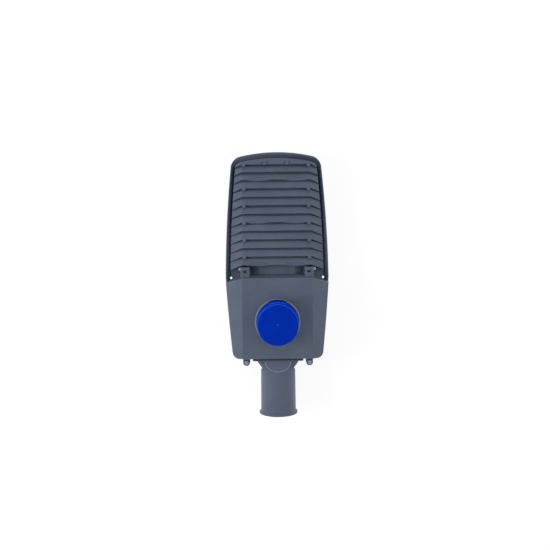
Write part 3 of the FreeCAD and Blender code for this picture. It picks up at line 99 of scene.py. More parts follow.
class Slot(Enum):
    """The record's material slots."""

    PAINT = "painted_housing"
    RUBBER = "seal_rubber"
    STEEL = "stainless_steel"
    BRASS = "brass_metal"
    RECEPTACLE = "receptacle_plastic"
    BLUE = "blue_plastic"
    BLACK = "dark_plastic"
    CIRCUIT = "circuit_board"
    GLASS = "clear_glass"
    BOARD = "white_board"
    CHIP = "lamp_chip"
    LENS = "clear_lens"
    ZINC = "galvanised_steel"
    DRIVER = "driver_case"
    WHITE = "white_plastic"


def linear(hex_colour: str, alpha: float = 1.0) -> tuple[float, float, float, float]:
    """Turns an sRGB hex colour into the linear values that Blender works in.

    Args:
        hex_colour: Six hex digits with a leading #.
        alpha: The opacity to add.

    Returns:
        Red, green, blue and alpha, each from 0 to 1.
    """
    values = [int(hex_colour[start:start + 2], 16) / 255 for start in (1, 3, 5)]
    red, green, blue = (
        value / SRGB_SLOPE if value <= SRGB_KNEE
        else ((value + SRGB_OFFSET) / (1 + SRGB_OFFSET)) ** SRGB_POWER for value in values)
    return red, green, blue, alpha


def per_metre(size_mm: float) -> float:
    """The texture scale that makes one feature as large as size_mm."""
    return MM_PER_METRE / size_mm


def metres(size_mm: float) -> float:
    """A size in millimetres, in metres."""
    return size_mm / MM_PER_METRE


def add_node(tree: Tree, kind: str, inputs: dict[str | int, Any] | None = None, **settings: Any) -> Node:
    """Adds one shader node with its settings, values and links.

    Args:
        tree: The node tree to add to.
        kind: Blender's name of the node type.
        inputs: For each input, a value or the output socket to link to it.
        settings: Properties of the node itself.

    Returns:
        The new node.
    """
    node = tree.nodes.new(kind)
    for name, value in settings.items():
        setattr(node, name, value)
    for name, value in (inputs or {}).items():
        if isinstance(value, Socket):
            tree.links.new(value, node.inputs[name])
        else:
            node.inputs[name].default_value = value
    return node


@dataclass(frozen=True)
class Finish:
    """What every finish has: a name, a slot and the plain values of its surface."""

    name: str
    slot: Slot
    colour: str
    roughness: float
    metallic: float = 0.0
    ior: float = 1.5
    specular: float = 0.5

    def build(self) -> bpy.types.Material:
        """Makes the material.

        Returns:
            The finished material.
        """
        material = bpy.data.materials.new(self.name)
        material.use_nodes = True
        material.diffuse_color = linear(self.colour)
        tree = material.node_tree
        tree.nodes.clear()
        shader = add_node(tree, "ShaderNodeBsdfPrincipled", {
            "Base Color": linear(self.colour), "Roughness": self.roughness,
            "Metallic": self.metallic, "Specular IOR Level": self.specular})
        if not self.metallic:
            shader.inputs["IOR"].default_value = self.ior
        add_node(tree, "ShaderNodeOutputMaterial", {"Surface": shader.outputs["BSDF"]})
        self.pattern(tree, shader)
        return material

    def pattern(self, tree: Tree, shader: Node) -> None:
        """Adds the finish's own detail to the plain shader, which has none by itself."""

    def place(self, tree: Tree) -> Socket:
        """The point on the object, in metres."""
        return add_node(tree, "ShaderNodeTexCoord").outputs["Object"]

    def grain(self, tree: Tree, size_mm: float, detail: float = 2.0,
              stretch: Triple = (1.0, 1.0, 1.0)) -> Socket:
        """Noise with features of a real size.

        Args:
            tree: The node tree to add to.
            size_mm: The size of one feature.
            detail: How many finer layers it has.
            stretch: Scale along X, Y and Z.

        Returns:
            The noise's value, mostly within NOISE_RANGE.
        """
        where = add_node(tree, "ShaderNodeMapping", {"Vector": self.place(tree), "Scale": stretch})
        noise = add_node(tree, "ShaderNodeTexNoise", {
            "Vector": where.outputs["Vector"], "Scale": per_metre(size_mm), "Detail": detail})
        return noise.outputs["Fac"]

    def spread(self, tree: Tree, value: Socket, low: float, high: float,
               between: Span = NOISE_RANGE) -> Socket:
        """Maps a value onto the range from low to high.

        Args:
            tree: The node tree to add to.
            value: The value to map.
            low: The result where the value's range starts.
            high: The result where it ends.
            between: The value's range.

        Returns:
            The mapped value.
        """
        ranged = add_node(tree, "ShaderNodeMapRange", {
            "Value": value, "From Min": between[0], "From Max": between[1],
            "To Min": low, "To Max": high})
        return ranged.outputs["Result"]

    def tones(self, tree: Tree, factor: Socket, first: Any, second: Any) -> Socket:
        """Mixes two colours by a factor.

        Args:
            tree: The node tree to add to.
            factor: 0 gives the first colour and 1 the second.
            first: A hex colour or a socket.
            second: A hex colour or a socket.

        Returns:
            The mixed colour.
        """
        low, high = (linear(tone) if isinstance(tone, str) else tone for tone in (first, second))
        mixed = add_node(tree, "ShaderNodeMix", {"Factor": factor, 6: low, 7: high}, data_type="RGBA")
        return mixed.outputs[2]

    def swing_gloss(self, tree: Tree, shader: Node, value: Socket, swing: Span,
                    between: Span = NOISE_RANGE) -> None:
        """Lets the roughness swing about the finish's own.

        Args:
            tree: The node tree to add to.
            shader: The surface's shader.
            value: The value it swings with.
            swing: How far it goes below and above, the first negative or 0.
            between: The value's range.
        """
        gloss = self.spread(tree, value, self.roughness + swing[0], self.roughness + swing[1], between)
        tree.links.new(gloss, shader.inputs["Roughness"])

    def relief(self, tree: Tree, height: Socket, depth_mm: float, strength: float,
               normal: Socket | None = None) -> Socket:
        """Turns a height into a bumped normal.

        Args:
            tree: The node tree to add to.
            height: The height, 0 to 1.
            depth_mm: The relief's depth for a height of 1.
            strength: How much of it shows.
            normal: A normal to start from.

        Returns:
            The new normal.
        """
        links: dict[str | int, Any] = {
            "Height": height, "Distance": metres(depth_mm), "Strength": strength}
        if normal:
            links["Normal"] = normal
        return add_node(tree, "ShaderNodeBump", links).outputs["Normal"]

    def soft_edges(self, tree: Tree, radius_mm: float) -> tuple[Socket, Socket]:
        """Rounds the look of sharp edges.

        Args:
            tree: The node tree to add to.
            radius_mm: The edges' rounding.

        Returns:
            The rounded normal, and a mask that is 1 on the edges.
        """
        bevel = add_node(tree, "ShaderNodeBevel", {"Radius": metres(radius_mm)}, samples=EDGE_SAMPLES)
        rounded = bevel.outputs["Normal"]
        plain = add_node(tree, "ShaderNodeNewGeometry").outputs["True Normal"]
        same = add_node(tree, "ShaderNodeVectorMath", {0: rounded, 1: plain}, operation="DOT_PRODUCT")
        return rounded, self.spread(tree, same.outputs["Value"], 1.0, 0.0, EDGE_RANGE)


@dataclass(frozen=True)
class PowderCoat(Finish):
    """Polyester powder coat baked on die-cast aluminium: semi-gloss with a slight orange peel."""

    tone_low: str = "#444e60"
    tone_high: str = "#4a5568"
    edge_tone: str = "#717d91"
    # Painted shade in crevices takes this tone.
    crevice_shade_tone: str = "#1d2128"
    patch_mm: float = 55.0
    patch_detail: float = 3.0
    speck_mm: float = 1.6
    speck_detail: float = 1.0
    speck_share: float = 0.10
    speck_range: Span = (0.5, 0.75)
    edge_mm: float = 1.3
    # How much of the painted highlight on edges shows.
    edge_highlight_share: float = 0.45
    crevice_mm: float = 14.0
    crevice_range: Span = (0.2, 0.52)
    crevice_shade_share: float = 0.92
    # Orange peel is 1 to 2 mm across on the real paint; 3 mm is the finest that shows here.
    peel_mm: float = 3.0
    peel_detail: float = 1.5
    peel_depth_mm: float = 0.12
    peel_strength: float = 0.35
    cloud_mm: float = 22.0
    cloud_detail: float = 4.0
    gloss_swing: Span = (-0.03, 0.05)

    def pattern(self, tree: Tree, shader: Node) -> None:
        """Tone drift in patches, painted shade in crevices, a painted highlight on edges and orange
        peel.

        Args:
            tree: The node tree to add to.
            shader: The surface's shader.
        """
        patches = self.spread(tree, self.grain(tree, self.patch_mm, self.patch_detail), *FULL)
        base = self.tones(tree, patches, self.tone_low, self.tone_high)
        specks = self.spread(tree, self.grain(tree, self.speck_mm, self.speck_detail), 0.0,
                             self.speck_share, self.speck_range)
        base = self.tones(tree, specks, base, self.edge_tone)
        # Paler on sharp edges: a painted highlight.
        rounded, edge = self.soft_edges(tree, self.edge_mm)
        highlit_edges = self.spread(tree, edge, 0.0, self.edge_highlight_share, FULL)
        base = self.tones(tree, highlit_edges, base, self.edge_tone)
        # Darker where the object's own shape closes in round a point: painted shade in crevices.
        open_sky = add_node(tree, "ShaderNodeAmbientOcclusion", {"Distance": metres(self.crevice_mm)},
                            samples=CREVICE_SAMPLES, only_local=True)
        shade_in_crevices = self.spread(tree, open_sky.outputs["AO"], self.crevice_shade_share, 0.0, self.crevice_range)
        base = self.tones(tree, shade_in_crevices, base, self.crevice_shade_tone)
        tree.links.new(base, shader.inputs["Base Color"])
        clouds = self.grain(tree, self.cloud_mm, self.cloud_detail)
        self.swing_gloss(tree, shader, clouds, self.gloss_swing)
        peel = self.grain(tree, self.peel_mm, self.peel_detail)
        bumped = self.relief(tree, peel, self.peel_depth_mm, self.peel_strength, rounded)
        tree.links.new(bumped, shader.inputs["Normal"])


@dataclass(frozen=True)
class MouldedShell(Finish):
    """Injection-moulded plastic: a waxy sheen, faint flow marks and softly rounded edges."""

    flow_tone: str = "#0a31a3"
    flow_mm: float = 26.0
    flow_detail: float = 3.0
    flow_stretch: Triple = (1.0, 1.0, 0.35)
    edge_tone: str = "#1440bf"
    edge_mm: float = 0.8
    # How much of the painted highlight on edges shows.
    edge_glint_share: float = 0.4
    # Spark grain is about 0.2 mm on a real shell; 1.2 mm is the finest that shows here.
    grain_mm: float = 1.2
    grain_detail: float = 1.0
    grain_depth_mm: float = 0.05
    grain_strength: float = 0.4
    sheen_detail: float = 2.0
    sheen_swing: Span = (-0.04, 0.05)
    # The painted highlight band round the crown: its height, or 0 for none, and where it comes in along
    # Y.
    crown_highlight_height: float = 0.0
    crown_highlight_half_mm: float = 1.6
    crown_highlight_share: float = 0.75
    crown_highlight_reach: Span = (0.180, 0.205)
    crown_highlight_far_share: float = 0.15

    def pattern(self, tree: Tree, shader: Node) -> None:
        """Flow marks that run up the wall, a fine spark grain, and a painted highlight on edges and
        round the crown.

        Args:
            tree: The node tree to add to.
            shader: The surface's shader.
        """
        flow = self.grain(tree, self.flow_mm, self.flow_detail, self.flow_stretch)
        base = self.tones(tree, self.spread(tree, flow, *FULL), self.colour, self.flow_tone)
        # Paler on sharp edges: a painted highlight.
        rounded, edge = self.soft_edges(tree, self.edge_mm)
        highlit_edges = self.spread(tree, edge, 0.0, self.edge_glint_share, FULL)
        base = self.tones(tree, highlit_edges, base, self.edge_tone)
        # A painted highlight band round the crown, where a height is given.
        if self.crown_highlight_height:
            base = self.crown_highlighted(tree, base)
        tree.links.new(base, shader.inputs["Base Color"])
        sheen = self.grain(tree, self.flow_mm / 2, self.sheen_detail)
        self.swing_gloss(tree, shader, sheen, self.sheen_swing)
        grain = self.grain(tree, self.grain_mm, self.grain_detail)
        bumped = self.relief(tree, grain, self.grain_depth_mm, self.grain_strength, rounded)
        tree.links.new(bumped, shader.inputs["Normal"])

    def crown_highlighted(self, tree: Tree, base: Socket) -> Socket:
        """Adds a painted highlight: a paler band round the crown, stronger on the side towards the tip.

        Args:
            tree: The node tree to add to.
            base: The colour so far.

        Returns:
            The colour with the band.
        """
        where = add_node(tree, "ShaderNodeSeparateXYZ", {"Vector": self.place(tree)})
        away = add_node(tree, "ShaderNodeMath", {0: where.outputs["Z"], 1: self.crown_highlight_height},
                        operation="SUBTRACT")
        off = add_node(tree, "ShaderNodeMath", {0: away.outputs[0]}, operation="ABSOLUTE")
        half = metres(self.crown_highlight_half_mm)
        band = self.spread(tree, off.outputs[0], self.crown_highlight_share, 0.0, (half / 3, half))
        reach = self.spread(tree, where.outputs["Y"], self.crown_highlight_far_share, 1.0, self.crown_highlight_reach)
        share = add_node(tree, "ShaderNodeMath", {0: band, 1: reach}, operation="MULTIPLY").outputs[0]
        return self.tones(tree, share, base, self.edge_tone)


@dataclass(frozen=True)
class SiliconeRubber(Finish):
    """Moulded silicone rubber: dull, with a faint dusty bloom."""

    bloom_tone: str = "#3a3b3d"
    bloom_mm: float = 6.0
    bloom_detail: float = 5.0
    bloom_share: float = 0.45
    # The real skin's grain is finer than 0.1 mm; 0.8 mm is the finest that shows here.
    skin_mm: float = 0.8
    skin_depth_mm: float = 0.06
    skin_strength: float = 0.5

    def pattern(self, tree: Tree, shader: Node) -> None:
        """Dust that lies in uneven patches, on a slightly grainy skin.

        Args:
            tree: The node tree to add to.
            shader: The surface's shader.
        """
        dust = self.grain(tree, self.bloom_mm, self.bloom_detail)
        bloom = self.spread(tree, dust, 0.0, self.bloom_share)
        base = self.tones(tree, bloom, self.colour, self.bloom_tone)
        tree.links.new(base, shader.inputs["Base Color"])
        skin = self.relief(tree, self.grain(tree, self.skin_mm), self.skin_depth_mm, self.skin_strength)
        tree.links.new(skin, shader.inputs["Normal"])


@dataclass(frozen=True)
class TurnedMetal(Finish):
    """Turned, pressed or drawn bright metal: fine lines, small stains and softly broken edges."""

    metallic: float = 1.0
    stain_tone: str = "#8b909b"
    stain_mm: float = 7.0
    stain_detail: float = 4.0
    stain_share: float = 0.5
    # Tool lines are about 0.1 mm apart on real screws; 0.5 mm is the finest that shows here.
    line_mm: float = 0.5
    line_stretch: Triple = (0.15, 1.0, 1.0)
    line_depth_mm: float = 0.02
    line_strength: float = 0.5
    gloss_swing: Span = (-0.06, 0.1)
    edge_mm: float = 0.35

    def pattern(self, tree: Tree, shader: Node) -> None:
        """Tool lines in the gloss, and faint stains in the colour.

        Args:
            tree: The node tree to add to.
            shader: The surface's shader.
        """
        marks = self.grain(tree, self.stain_mm, self.stain_detail)
        stains = self.spread(tree, marks, 0.0, self.stain_share)
        base = self.tones(tree, stains, self.colour, self.stain_tone)
        tree.links.new(base, shader.inputs["Base Color"])
        lines = self.grain(tree, self.line_mm, stretch=self.line_stretch)
        self.swing_gloss(tree, shader, lines, self.gloss_swing)
        rounded, _ = self.soft_edges(tree, self.edge_mm)
        bumped = self.relief(tree, lines, self.line_depth_mm, self.line_strength, rounded)
        tree.links.new(bumped, shader.inputs["Normal"])


@dataclass(frozen=True)
class ZincSpangle(Finish):
    """Hot-dip zinc on steel sheet: grey crystals a few millimetres across."""

    crystal_tone: str = "#8b9195"
    crystal_mm: float = 5.0
    gloss_swing: Span = (-0.08, 0.12)

    def pattern(self, tree: Tree, shader: Node) -> None:
        """Crystals that differ in tone and gloss.

        Args:
            tree: The node tree to add to.
            shader: The surface's shader.
        """
        cells = add_node(tree, "ShaderNodeTexVoronoi", {
            "Vector": self.place(tree), "Scale": per_metre(self.crystal_mm)})
        parts = add_node(tree, "ShaderNodeSeparateColor", {"Color": cells.outputs["Color"]})
        tone = parts.outputs["Red"]
        base = self.tones(tree, tone, self.colour, self.crystal_tone)
        tree.links.new(base, shader.inputs["Base Color"])
        self.swing_gloss(tree, shader, tone, self.gloss_swing, FULL)


@dataclass(frozen=True)
class ClearSheet(Finish):
    """A clear pane or moulding, of toughened glass or acrylic, with a faint tint and light dust."""

    dust_tone: str = "#c9cdc9"
    dust_mm: float = 9.0
    dust_detail: float = 5.0
    dust_share: float = 0.25
    gloss_swing: Span = (0.0, 0.05)

    def pattern(self, tree: Tree, shader: Node) -> None:
        """Full transmission, with dust that dulls the gloss in patches.

        Args:
            tree: The node tree to add to.
            shader: The surface's shader.
        """
        shader.inputs["Transmission Weight"].default_value = 1.0
        dust = self.grain(tree, self.dust_mm, self.dust_detail)
        self.swing_gloss(tree, shader, dust, self.gloss_swing)
        film = self.spread(tree, dust, 0.0, self.dust_share)
        base = self.tones(tree, film, self.colour, self.dust_tone)
        tree.links.new(base, shader.inputs["Base Color"])
        self.let_light_in(tree, shader)

    def let_light_in(self, tree: Tree, shader: Node) -> None:
        """Lets light on its way to a surface pass, so that what lies behind is lit as through glass.

        Args:
            tree: The node tree to add to.
            shader: The surface's shader.
        """
        rays = add_node(tree, "ShaderNodeLightPath")
        lit = add_node(tree, "ShaderNodeMath", {
            0: rays.outputs["Is Shadow Ray"], 1: rays.outputs["Is Diffuse Ray"]}, operation="MAXIMUM")
        clear = add_node(tree, "ShaderNodeBsdfTransparent", {"Color": linear(self.colour)})
        both = add_node(tree, "ShaderNodeMixShader", {
            "Fac": lit.outputs[0], 1: shader.outputs["BSDF"], 2: clear.outputs["BSDF"]})
        output = next(node for node in tree.nodes if node.bl_idname == "ShaderNodeOutputMaterial")
        tree.links.new(both.outputs["Shader"], output.inputs["Surface"])


@dataclass(frozen=True)
class SolderMask(Finish):
    """Printed solder mask over copper: tracks stand out under the lacquer."""

    track_tone: str = "#c9ccc6"
    track_mm: float = 11.0
    track_range: Span = (0.44, 0.47)
    track_depth_mm: float = 0.05
    track_strength: float = 0.6

    def pattern(self, tree: Tree, shader: Node) -> None:
        """Blocky copper areas under the mask, with a low relief.

        Args:
            tree: The node tree to add to.
            shader: The surface's shader.
        """
        cells = add_node(tree, "ShaderNodeTexVoronoi", {
            "Vector": self.place(tree), "Scale": per_metre(self.track_mm)}, distance="CHEBYCHEV")
        tracks = self.spread(tree, cells.outputs["Distance"], *FULL, self.track_range)
        base = self.tones(tree, tracks, self.colour, self.track_tone)
        tree.links.new(base, shader.inputs["Base Color"])
        bumped = self.relief(tree, tracks, self.track_depth_mm, self.track_strength)
        tree.links.new(bumped, shader.inputs["Normal"])


@dataclass(frozen=True)
class Phosphor(Finish):
    """Silicone loaded with yellow phosphor over a lamp chip: flat, with a grainy tone."""

    grain_tone: str = "#e0b93a"
    # Real grains are about 0.02 mm; 0.5 mm is the finest that shows here.
    grain_mm: float = 0.5

    def pattern(self, tree: Tree, shader: Node) -> None:
        """Grains of phosphor.

        Args:
            tree: The node tree to add to.
            shader: The surface's shader.
        """
        grains = self.spread(tree, self.grain(tree, self.grain_mm), *FULL)
        base = self.tones(tree, grains, self.colour, self.grain_tone)
        tree.links.new(base, shader.inputs["Base Color"])


class Finishes:
    """All finishes of the street light, each built once when first asked for."""

    # Die-cast aluminium with a baked powder coat: a dark blue-grey with a soft gloss that
    # turns it paler at a slant.
    HOUSING_PAINT = PowderCoat("metallic_powder_coat", Slot.PAINT, "#505a69", 0.45)
    # Pale powder coat on raised beads along edges: a painted highlight.
    HIGHLIGHT_PAINT = PowderCoat(
        "highlight_powder_coat", Slot.PAINT, "#7d8899", 0.42, tone_low="#758194", tone_high="#8490a2",
        edge_tone="#8a96a8", crevice_shade_share=0.2)
    # Dark powder coat on a thin bead at the edge of a scoop: a painted shade line, darker than the slat.
    SHADE_LINE_PAINT = PowderCoat(
        "shade_line_powder_coat", Slot.PAINT, "#2a303a", 0.5, tone_low="#242a33", tone_high="#2c333e",
        edge_tone="#343c48", crevice_shade_share=0.2)
    # The same powder on the cover, from another batch: a shade greener, with a stronger painted
    # highlight on its edges.
    COVER_PAINT = PowderCoat(
        "metallic_powder_coat_cover", Slot.PAINT, "#506070", 0.45, tone_low="#444f5f",
        tone_high="#4a5667", edge_tone="#8a97a8", edge_highlight_share=0.6)
    # Polypropylene sensor shell: deep saturated blue. Its fine spark grain scatters the gloss, so
    # the wall stays blue when it is seen at a slant. A pale band round its crown is a painted highlight.
    SENSOR_BLUE = MouldedShell(
        "blue_polypropylene", Slot.BLUE, "#042ca2", 0.40, ior=1.49, specular=0.0,
        flow_tone="#042fa6", edge_tone="#2c5fdc", crown_highlight_height=0.1218)
    # Polypropylene stretched at the gate: the same blue, turned pale. On the grip lip, the pale blue is
    # a painted highlight.
    PALE_BLUE = MouldedShell(
        "stressed_and_highlight_polypropylene", Slot.BLUE, "#1c4bc2", 0.4, ior=1.49, specular=0.0,
        flow_tone="#2352c8", edge_tone="#3361d2", flow_mm=6.0)
    # Phenolic thermoset of the receptacle: a hard grey with a slight cloudiness.
    RECEPTACLE_GREY = MouldedShell(
        "grey_phenolic", Slot.RECEPTACLE, "#6d7178", 0.5, flow_tone="#777b82",
        edge_tone="#8f9399", flow_mm=12.0)
    # Glass-filled polyamide of glands, vents and cases: near black with a sandy grain.
    BLACK_NYLON = MouldedShell(
        "black_polyamide", Slot.BLACK, "#1c1d1f", 0.55, flow_tone="#232427",
        edge_tone="#3a3b3e", flow_mm=14.0)
    # White polyamide of the terminal block: slightly warm, with rounded light edges.
    WHITE_NYLON = MouldedShell(
        "white_polyamide", Slot.WHITE, "#d8d6cd", 0.5, flow_tone="#dedcd4",
        edge_tone="#eceae4", flow_mm=14.0)
    # Silicone seals: dull black that takes dust.
    BLACK_SILICONE = SiliconeRubber("black_silicone_rubber", Slot.RUBBER, "#191a1b", 0.72)
    # Stainless fasteners: bright with fine tool lines.
    STAINLESS = TurnedMetal("turned_stainless_steel", Slot.STEEL, "#b9bfcb", 0.24)
    # Small stainless screws left as they were pressed: a duller, slightly blue steel.
    DULL_STAINLESS = TurnedMetal(
        "pressed_stainless_steel", Slot.STEEL, "#8f97a9", 0.30, stain_tone="#737b8e", stain_mm=3.0)
    # Brass contacts and stud: warm yellow, a little tarnished.
    BRASS = TurnedMetal("rolled_brass", Slot.BRASS, "#d1a95c", 0.3, stain_tone="#9a7a43")
    # Aluminium driver case: satin extruded lines along its length.
    SATIN_ALUMINIUM = TurnedMetal(
        "extruded_aluminium", Slot.DRIVER, "#b9bcc0", 0.38, stain_tone="#a2a6ab", line_mm=0.9,
        line_stretch=(0.02, 1.0, 1.0))
    # Zinc-coated sheet of the gear tray: visible crystals.
    ZINC_SHEET = ZincSpangle("hot_dip_zinc", Slot.ZINC, "#a9afb3", 0.42, metallic=0.9)
    # Toughened soda-lime glass over the lamps: clear, with a breath of green.
    WINDOW_GLASS = ClearSheet("toughened_glass", Slot.GLASS, "#f4f9f6", 0.03, ior=1.52)
    # Moulded acrylic lenses: clear and slightly softer in gloss than the glass.
    LENS_ACRYLIC = ClearSheet("moulded_acrylic", Slot.LENS, "#f6f8f8", 0.05, ior=1.49)
    # White solder mask on aluminium board, which throws light back out of the lenses.
    WHITE_BOARD = SolderMask("white_solder_mask", Slot.BOARD, "#e3e5e1", 0.45)
    # Green solder mask on glass-epoxy board: paler green where copper lies under it.
    GREEN_BOARD = SolderMask(
        "green_solder_mask", Slot.CIRCUIT, "#1d6b3a", 0.4, track_tone="#2b8450", track_mm=4.0)
    # Yellow phosphor of the lamp chips: flat and warm.
    LAMP_PHOSPHOR = Phosphor("yellow_phosphor", Slot.CHIP, "#e8c75a", 0.6)

    def __init__(self) -> None:
        """Starts with no material built."""
        self._built: dict[str, bpy.types.Material] = {}

    def material(self, finish: Finish) -> bpy.types.Material:
        """The material of a finish, built once.

        Args:
            finish: The finish to look up.

        Returns:
            Its material.
        """
        if finish.name not in self._built:
            self._built[finish.name] = finish.build()
        return self._built[finish.name]


@dataclass
class Assembly:
    """A sub-assembly: it dresses CAD nodes and adds fine pieces that ride on a body."""

    nodes: dict[str, bpy.types.Object]
    finishes: Finishes
    body: Body = Body.HEAD
    # A height above all of the object, from which surfaces are looked for.
    look_from: float = 0.2

    def wear(self, finish: Finish, *names: str) -> None:
        """Gives CAD nodes a finish.

        Args:
            finish: What they wear.
            names: The nodes.
        """
        material = self.finishes.material(finish)
        for name in names:
            for slot in self.nodes[name].material_slots:
                slot.material = material
            LOG.info("%s wears %s", name, finish.name)

    def add_piece(self, name: str, mesh: bmesh.types.BMesh, finish: Finish,
                  smooth: bool = False) -> None:
        """Turns a bmesh into a piece that rides on the assembly's body.

        Args:
            name: The piece's name.
            mesh: Its geometry, which is freed.
            finish: What it wears.
            smooth: Whether its faces shade smoothly.
        """
        data = bpy.data.meshes.new(name)
        bmesh.ops.recalc_face_normals(mesh, faces=mesh.faces)
        for face in mesh.faces:
            face.smooth = smooth
        mesh.to_mesh(data)
        mesh.free()
        data.materials.append(self.finishes.material(finish))
        piece = bpy.data.objects.new(name, data)
        bpy.context.scene.collection.objects.link(piece)
        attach(piece, self.body.value)
        LOG.info("%s: %d faces", name, len(data.polygons))

    def on_surface(self, node: str, x: float, y: float) -> Vector:
        """The point on top of a node, straight under a place.

        Args:
            node: The node to look for.
            x: The place across.
            y: The place along.

        Returns:
            The point.
        """
        found, place, _, _ = self.nodes[node].ray_cast(Vector((x, y, self.look_from)), -UP)
        if not found:
            raise RuntimeError(f"nothing of {node} lies under {x}, {y}")
        return Vector((x, y, place.z))

    def loose_parts(self, node: str) -> list[tuple[Vector, Vector]]:
        """Lowest and highest corner of each loose part of a node.

        Args:
            node: The node to take apart.

        Returns:
            One pair of corners for each part.
        """
        mesh = bmesh.new()
        mesh.from_mesh(self.nodes[node].data)
        bmesh.ops.remove_doubles(mesh, verts=mesh.verts, dist=SAME_CORNER)
        left = set(mesh.verts)
        corners = []
        while left:
            reached = [left.pop()]
            for vert in reached:
                for edge in vert.link_edges:
                    other = edge.other_vert(vert)
                    if other in left:
                        left.discard(other)
                        reached.append(other)
            places = [vert.co for vert in reached]
            low = Vector([min(place[axis] for place in places) for axis in range(3)])
            high = Vector([max(place[axis] for place in places) for axis in range(3)])
            corners.append((low, high))
        mesh.free()
        return sorted(corners, key=lambda pair: tuple(round(v, SORT_DIGITS) for v in pair[0]))

    def corners(self, node: str) -> tuple[Vector, Vector]:
        """A node's lowest and highest corners."""
        low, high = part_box(node)
        return Vector(low), Vector(high)


def turns(steps: int) -> list[float]:
    """The angles of evenly spaced steps round a circle, in radians."""
    return [2 * math.pi * step / steps for step in range(steps)]


def join_rings(mesh: bmesh.types.BMesh, rings: list[list[bmesh.types.BMVert]]) -> None:
    """Adds the four-sided faces between each ring of corners and the next.

    Args:
        mesh: The mesh to add to.
        rings: The rings, all with the same number of corners.
    """
    for low, high in zip(rings, rings[1:]):
        for step in range(len(low)):
            after = (step + 1) % len(low)
            mesh.faces.new((low[step], low[after], high[after], high[step]))


def rounded_slab(mesh: bmesh.types.BMesh, low: Vector, high: Vector, round_by: float) -> None:
    """Adds a slab with rounded edges to a mesh.

    Args:
        mesh: The mesh to add to.
        low: The slab's lowest corner.
        high: Its highest corner.
        round_by: The edges' radius.
    """
    size = high - low
    place = Matrix.Translation((low + high) / 2) @ Matrix.Diagonal((size.x, size.y, size.z, 1.0))
    made = bmesh.ops.create_cube(mesh, size=1.0, matrix=place)
    edges = {edge for vert in made["verts"] for edge in vert.link_edges}
    bmesh.ops.bevel(mesh, geom=list(edges), offset=round_by, segments=ROUND_STEPS,
                    profile=ROUND_PROFILE, affect="EDGES")


def turned(mesh: bmesh.types.BMesh, foot: Vector, profile: list[Span]) -> None:
    """Adds a closed turned form about an upright axis.

    Args:
        mesh: The mesh to add to.
        foot: The axis's lowest point.
        profile: Radius and height pairs from one end to the other; the ends lie on the axis.
    """
    rings = [[mesh.verts.new(foot + Vector((radius * math.cos(turn), radius * math.sin(turn), height)))
              for turn in turns(TURNED_STEPS)] for radius, height in profile[1:-1]]
    first = mesh.verts.new(foot + UP * profile[0][1])
    last = mesh.verts.new(foot + UP * profile[-1][1])
    for step in range(TURNED_STEPS):
        after = (step + 1) % TURNED_STEPS
        mesh.faces.new((first, rings[0][after], rings[0][step]))
        mesh.faces.new((last, rings[-1][step], rings[-1][after]))
    join_rings(mesh, rings)


def swept_bead(mesh: bmesh.types.BMesh, path: list[Vector], radius: float) -> None:
    """Adds a round bead along a path, with narrowed ends.

    Args:
        mesh: The mesh to add to.
        path: The points of its middle line.
        radius: The bead's radius.
    """
    rings = []
    last = len(path) - 1
    for number, point in enumerate(path):
        along = (path[min(number + 1, last)] - path[max(number - 1, 0)]).normalized()
        across = along.cross(UP).normalized()
        up = across.cross(along)
        size = radius * (BEAD_END_SHARE if number in (0, last) else 1.0)
        rings.append([mesh.verts.new(point + across * size * math.cos(turn) + up * size * math.sin(turn))
                      for turn in turns(BEAD_SIDES)])
    join_rings(mesh, rings)
    mesh.faces.new(rings[0])
    mesh.faces.new(list(reversed(rings[-1])))


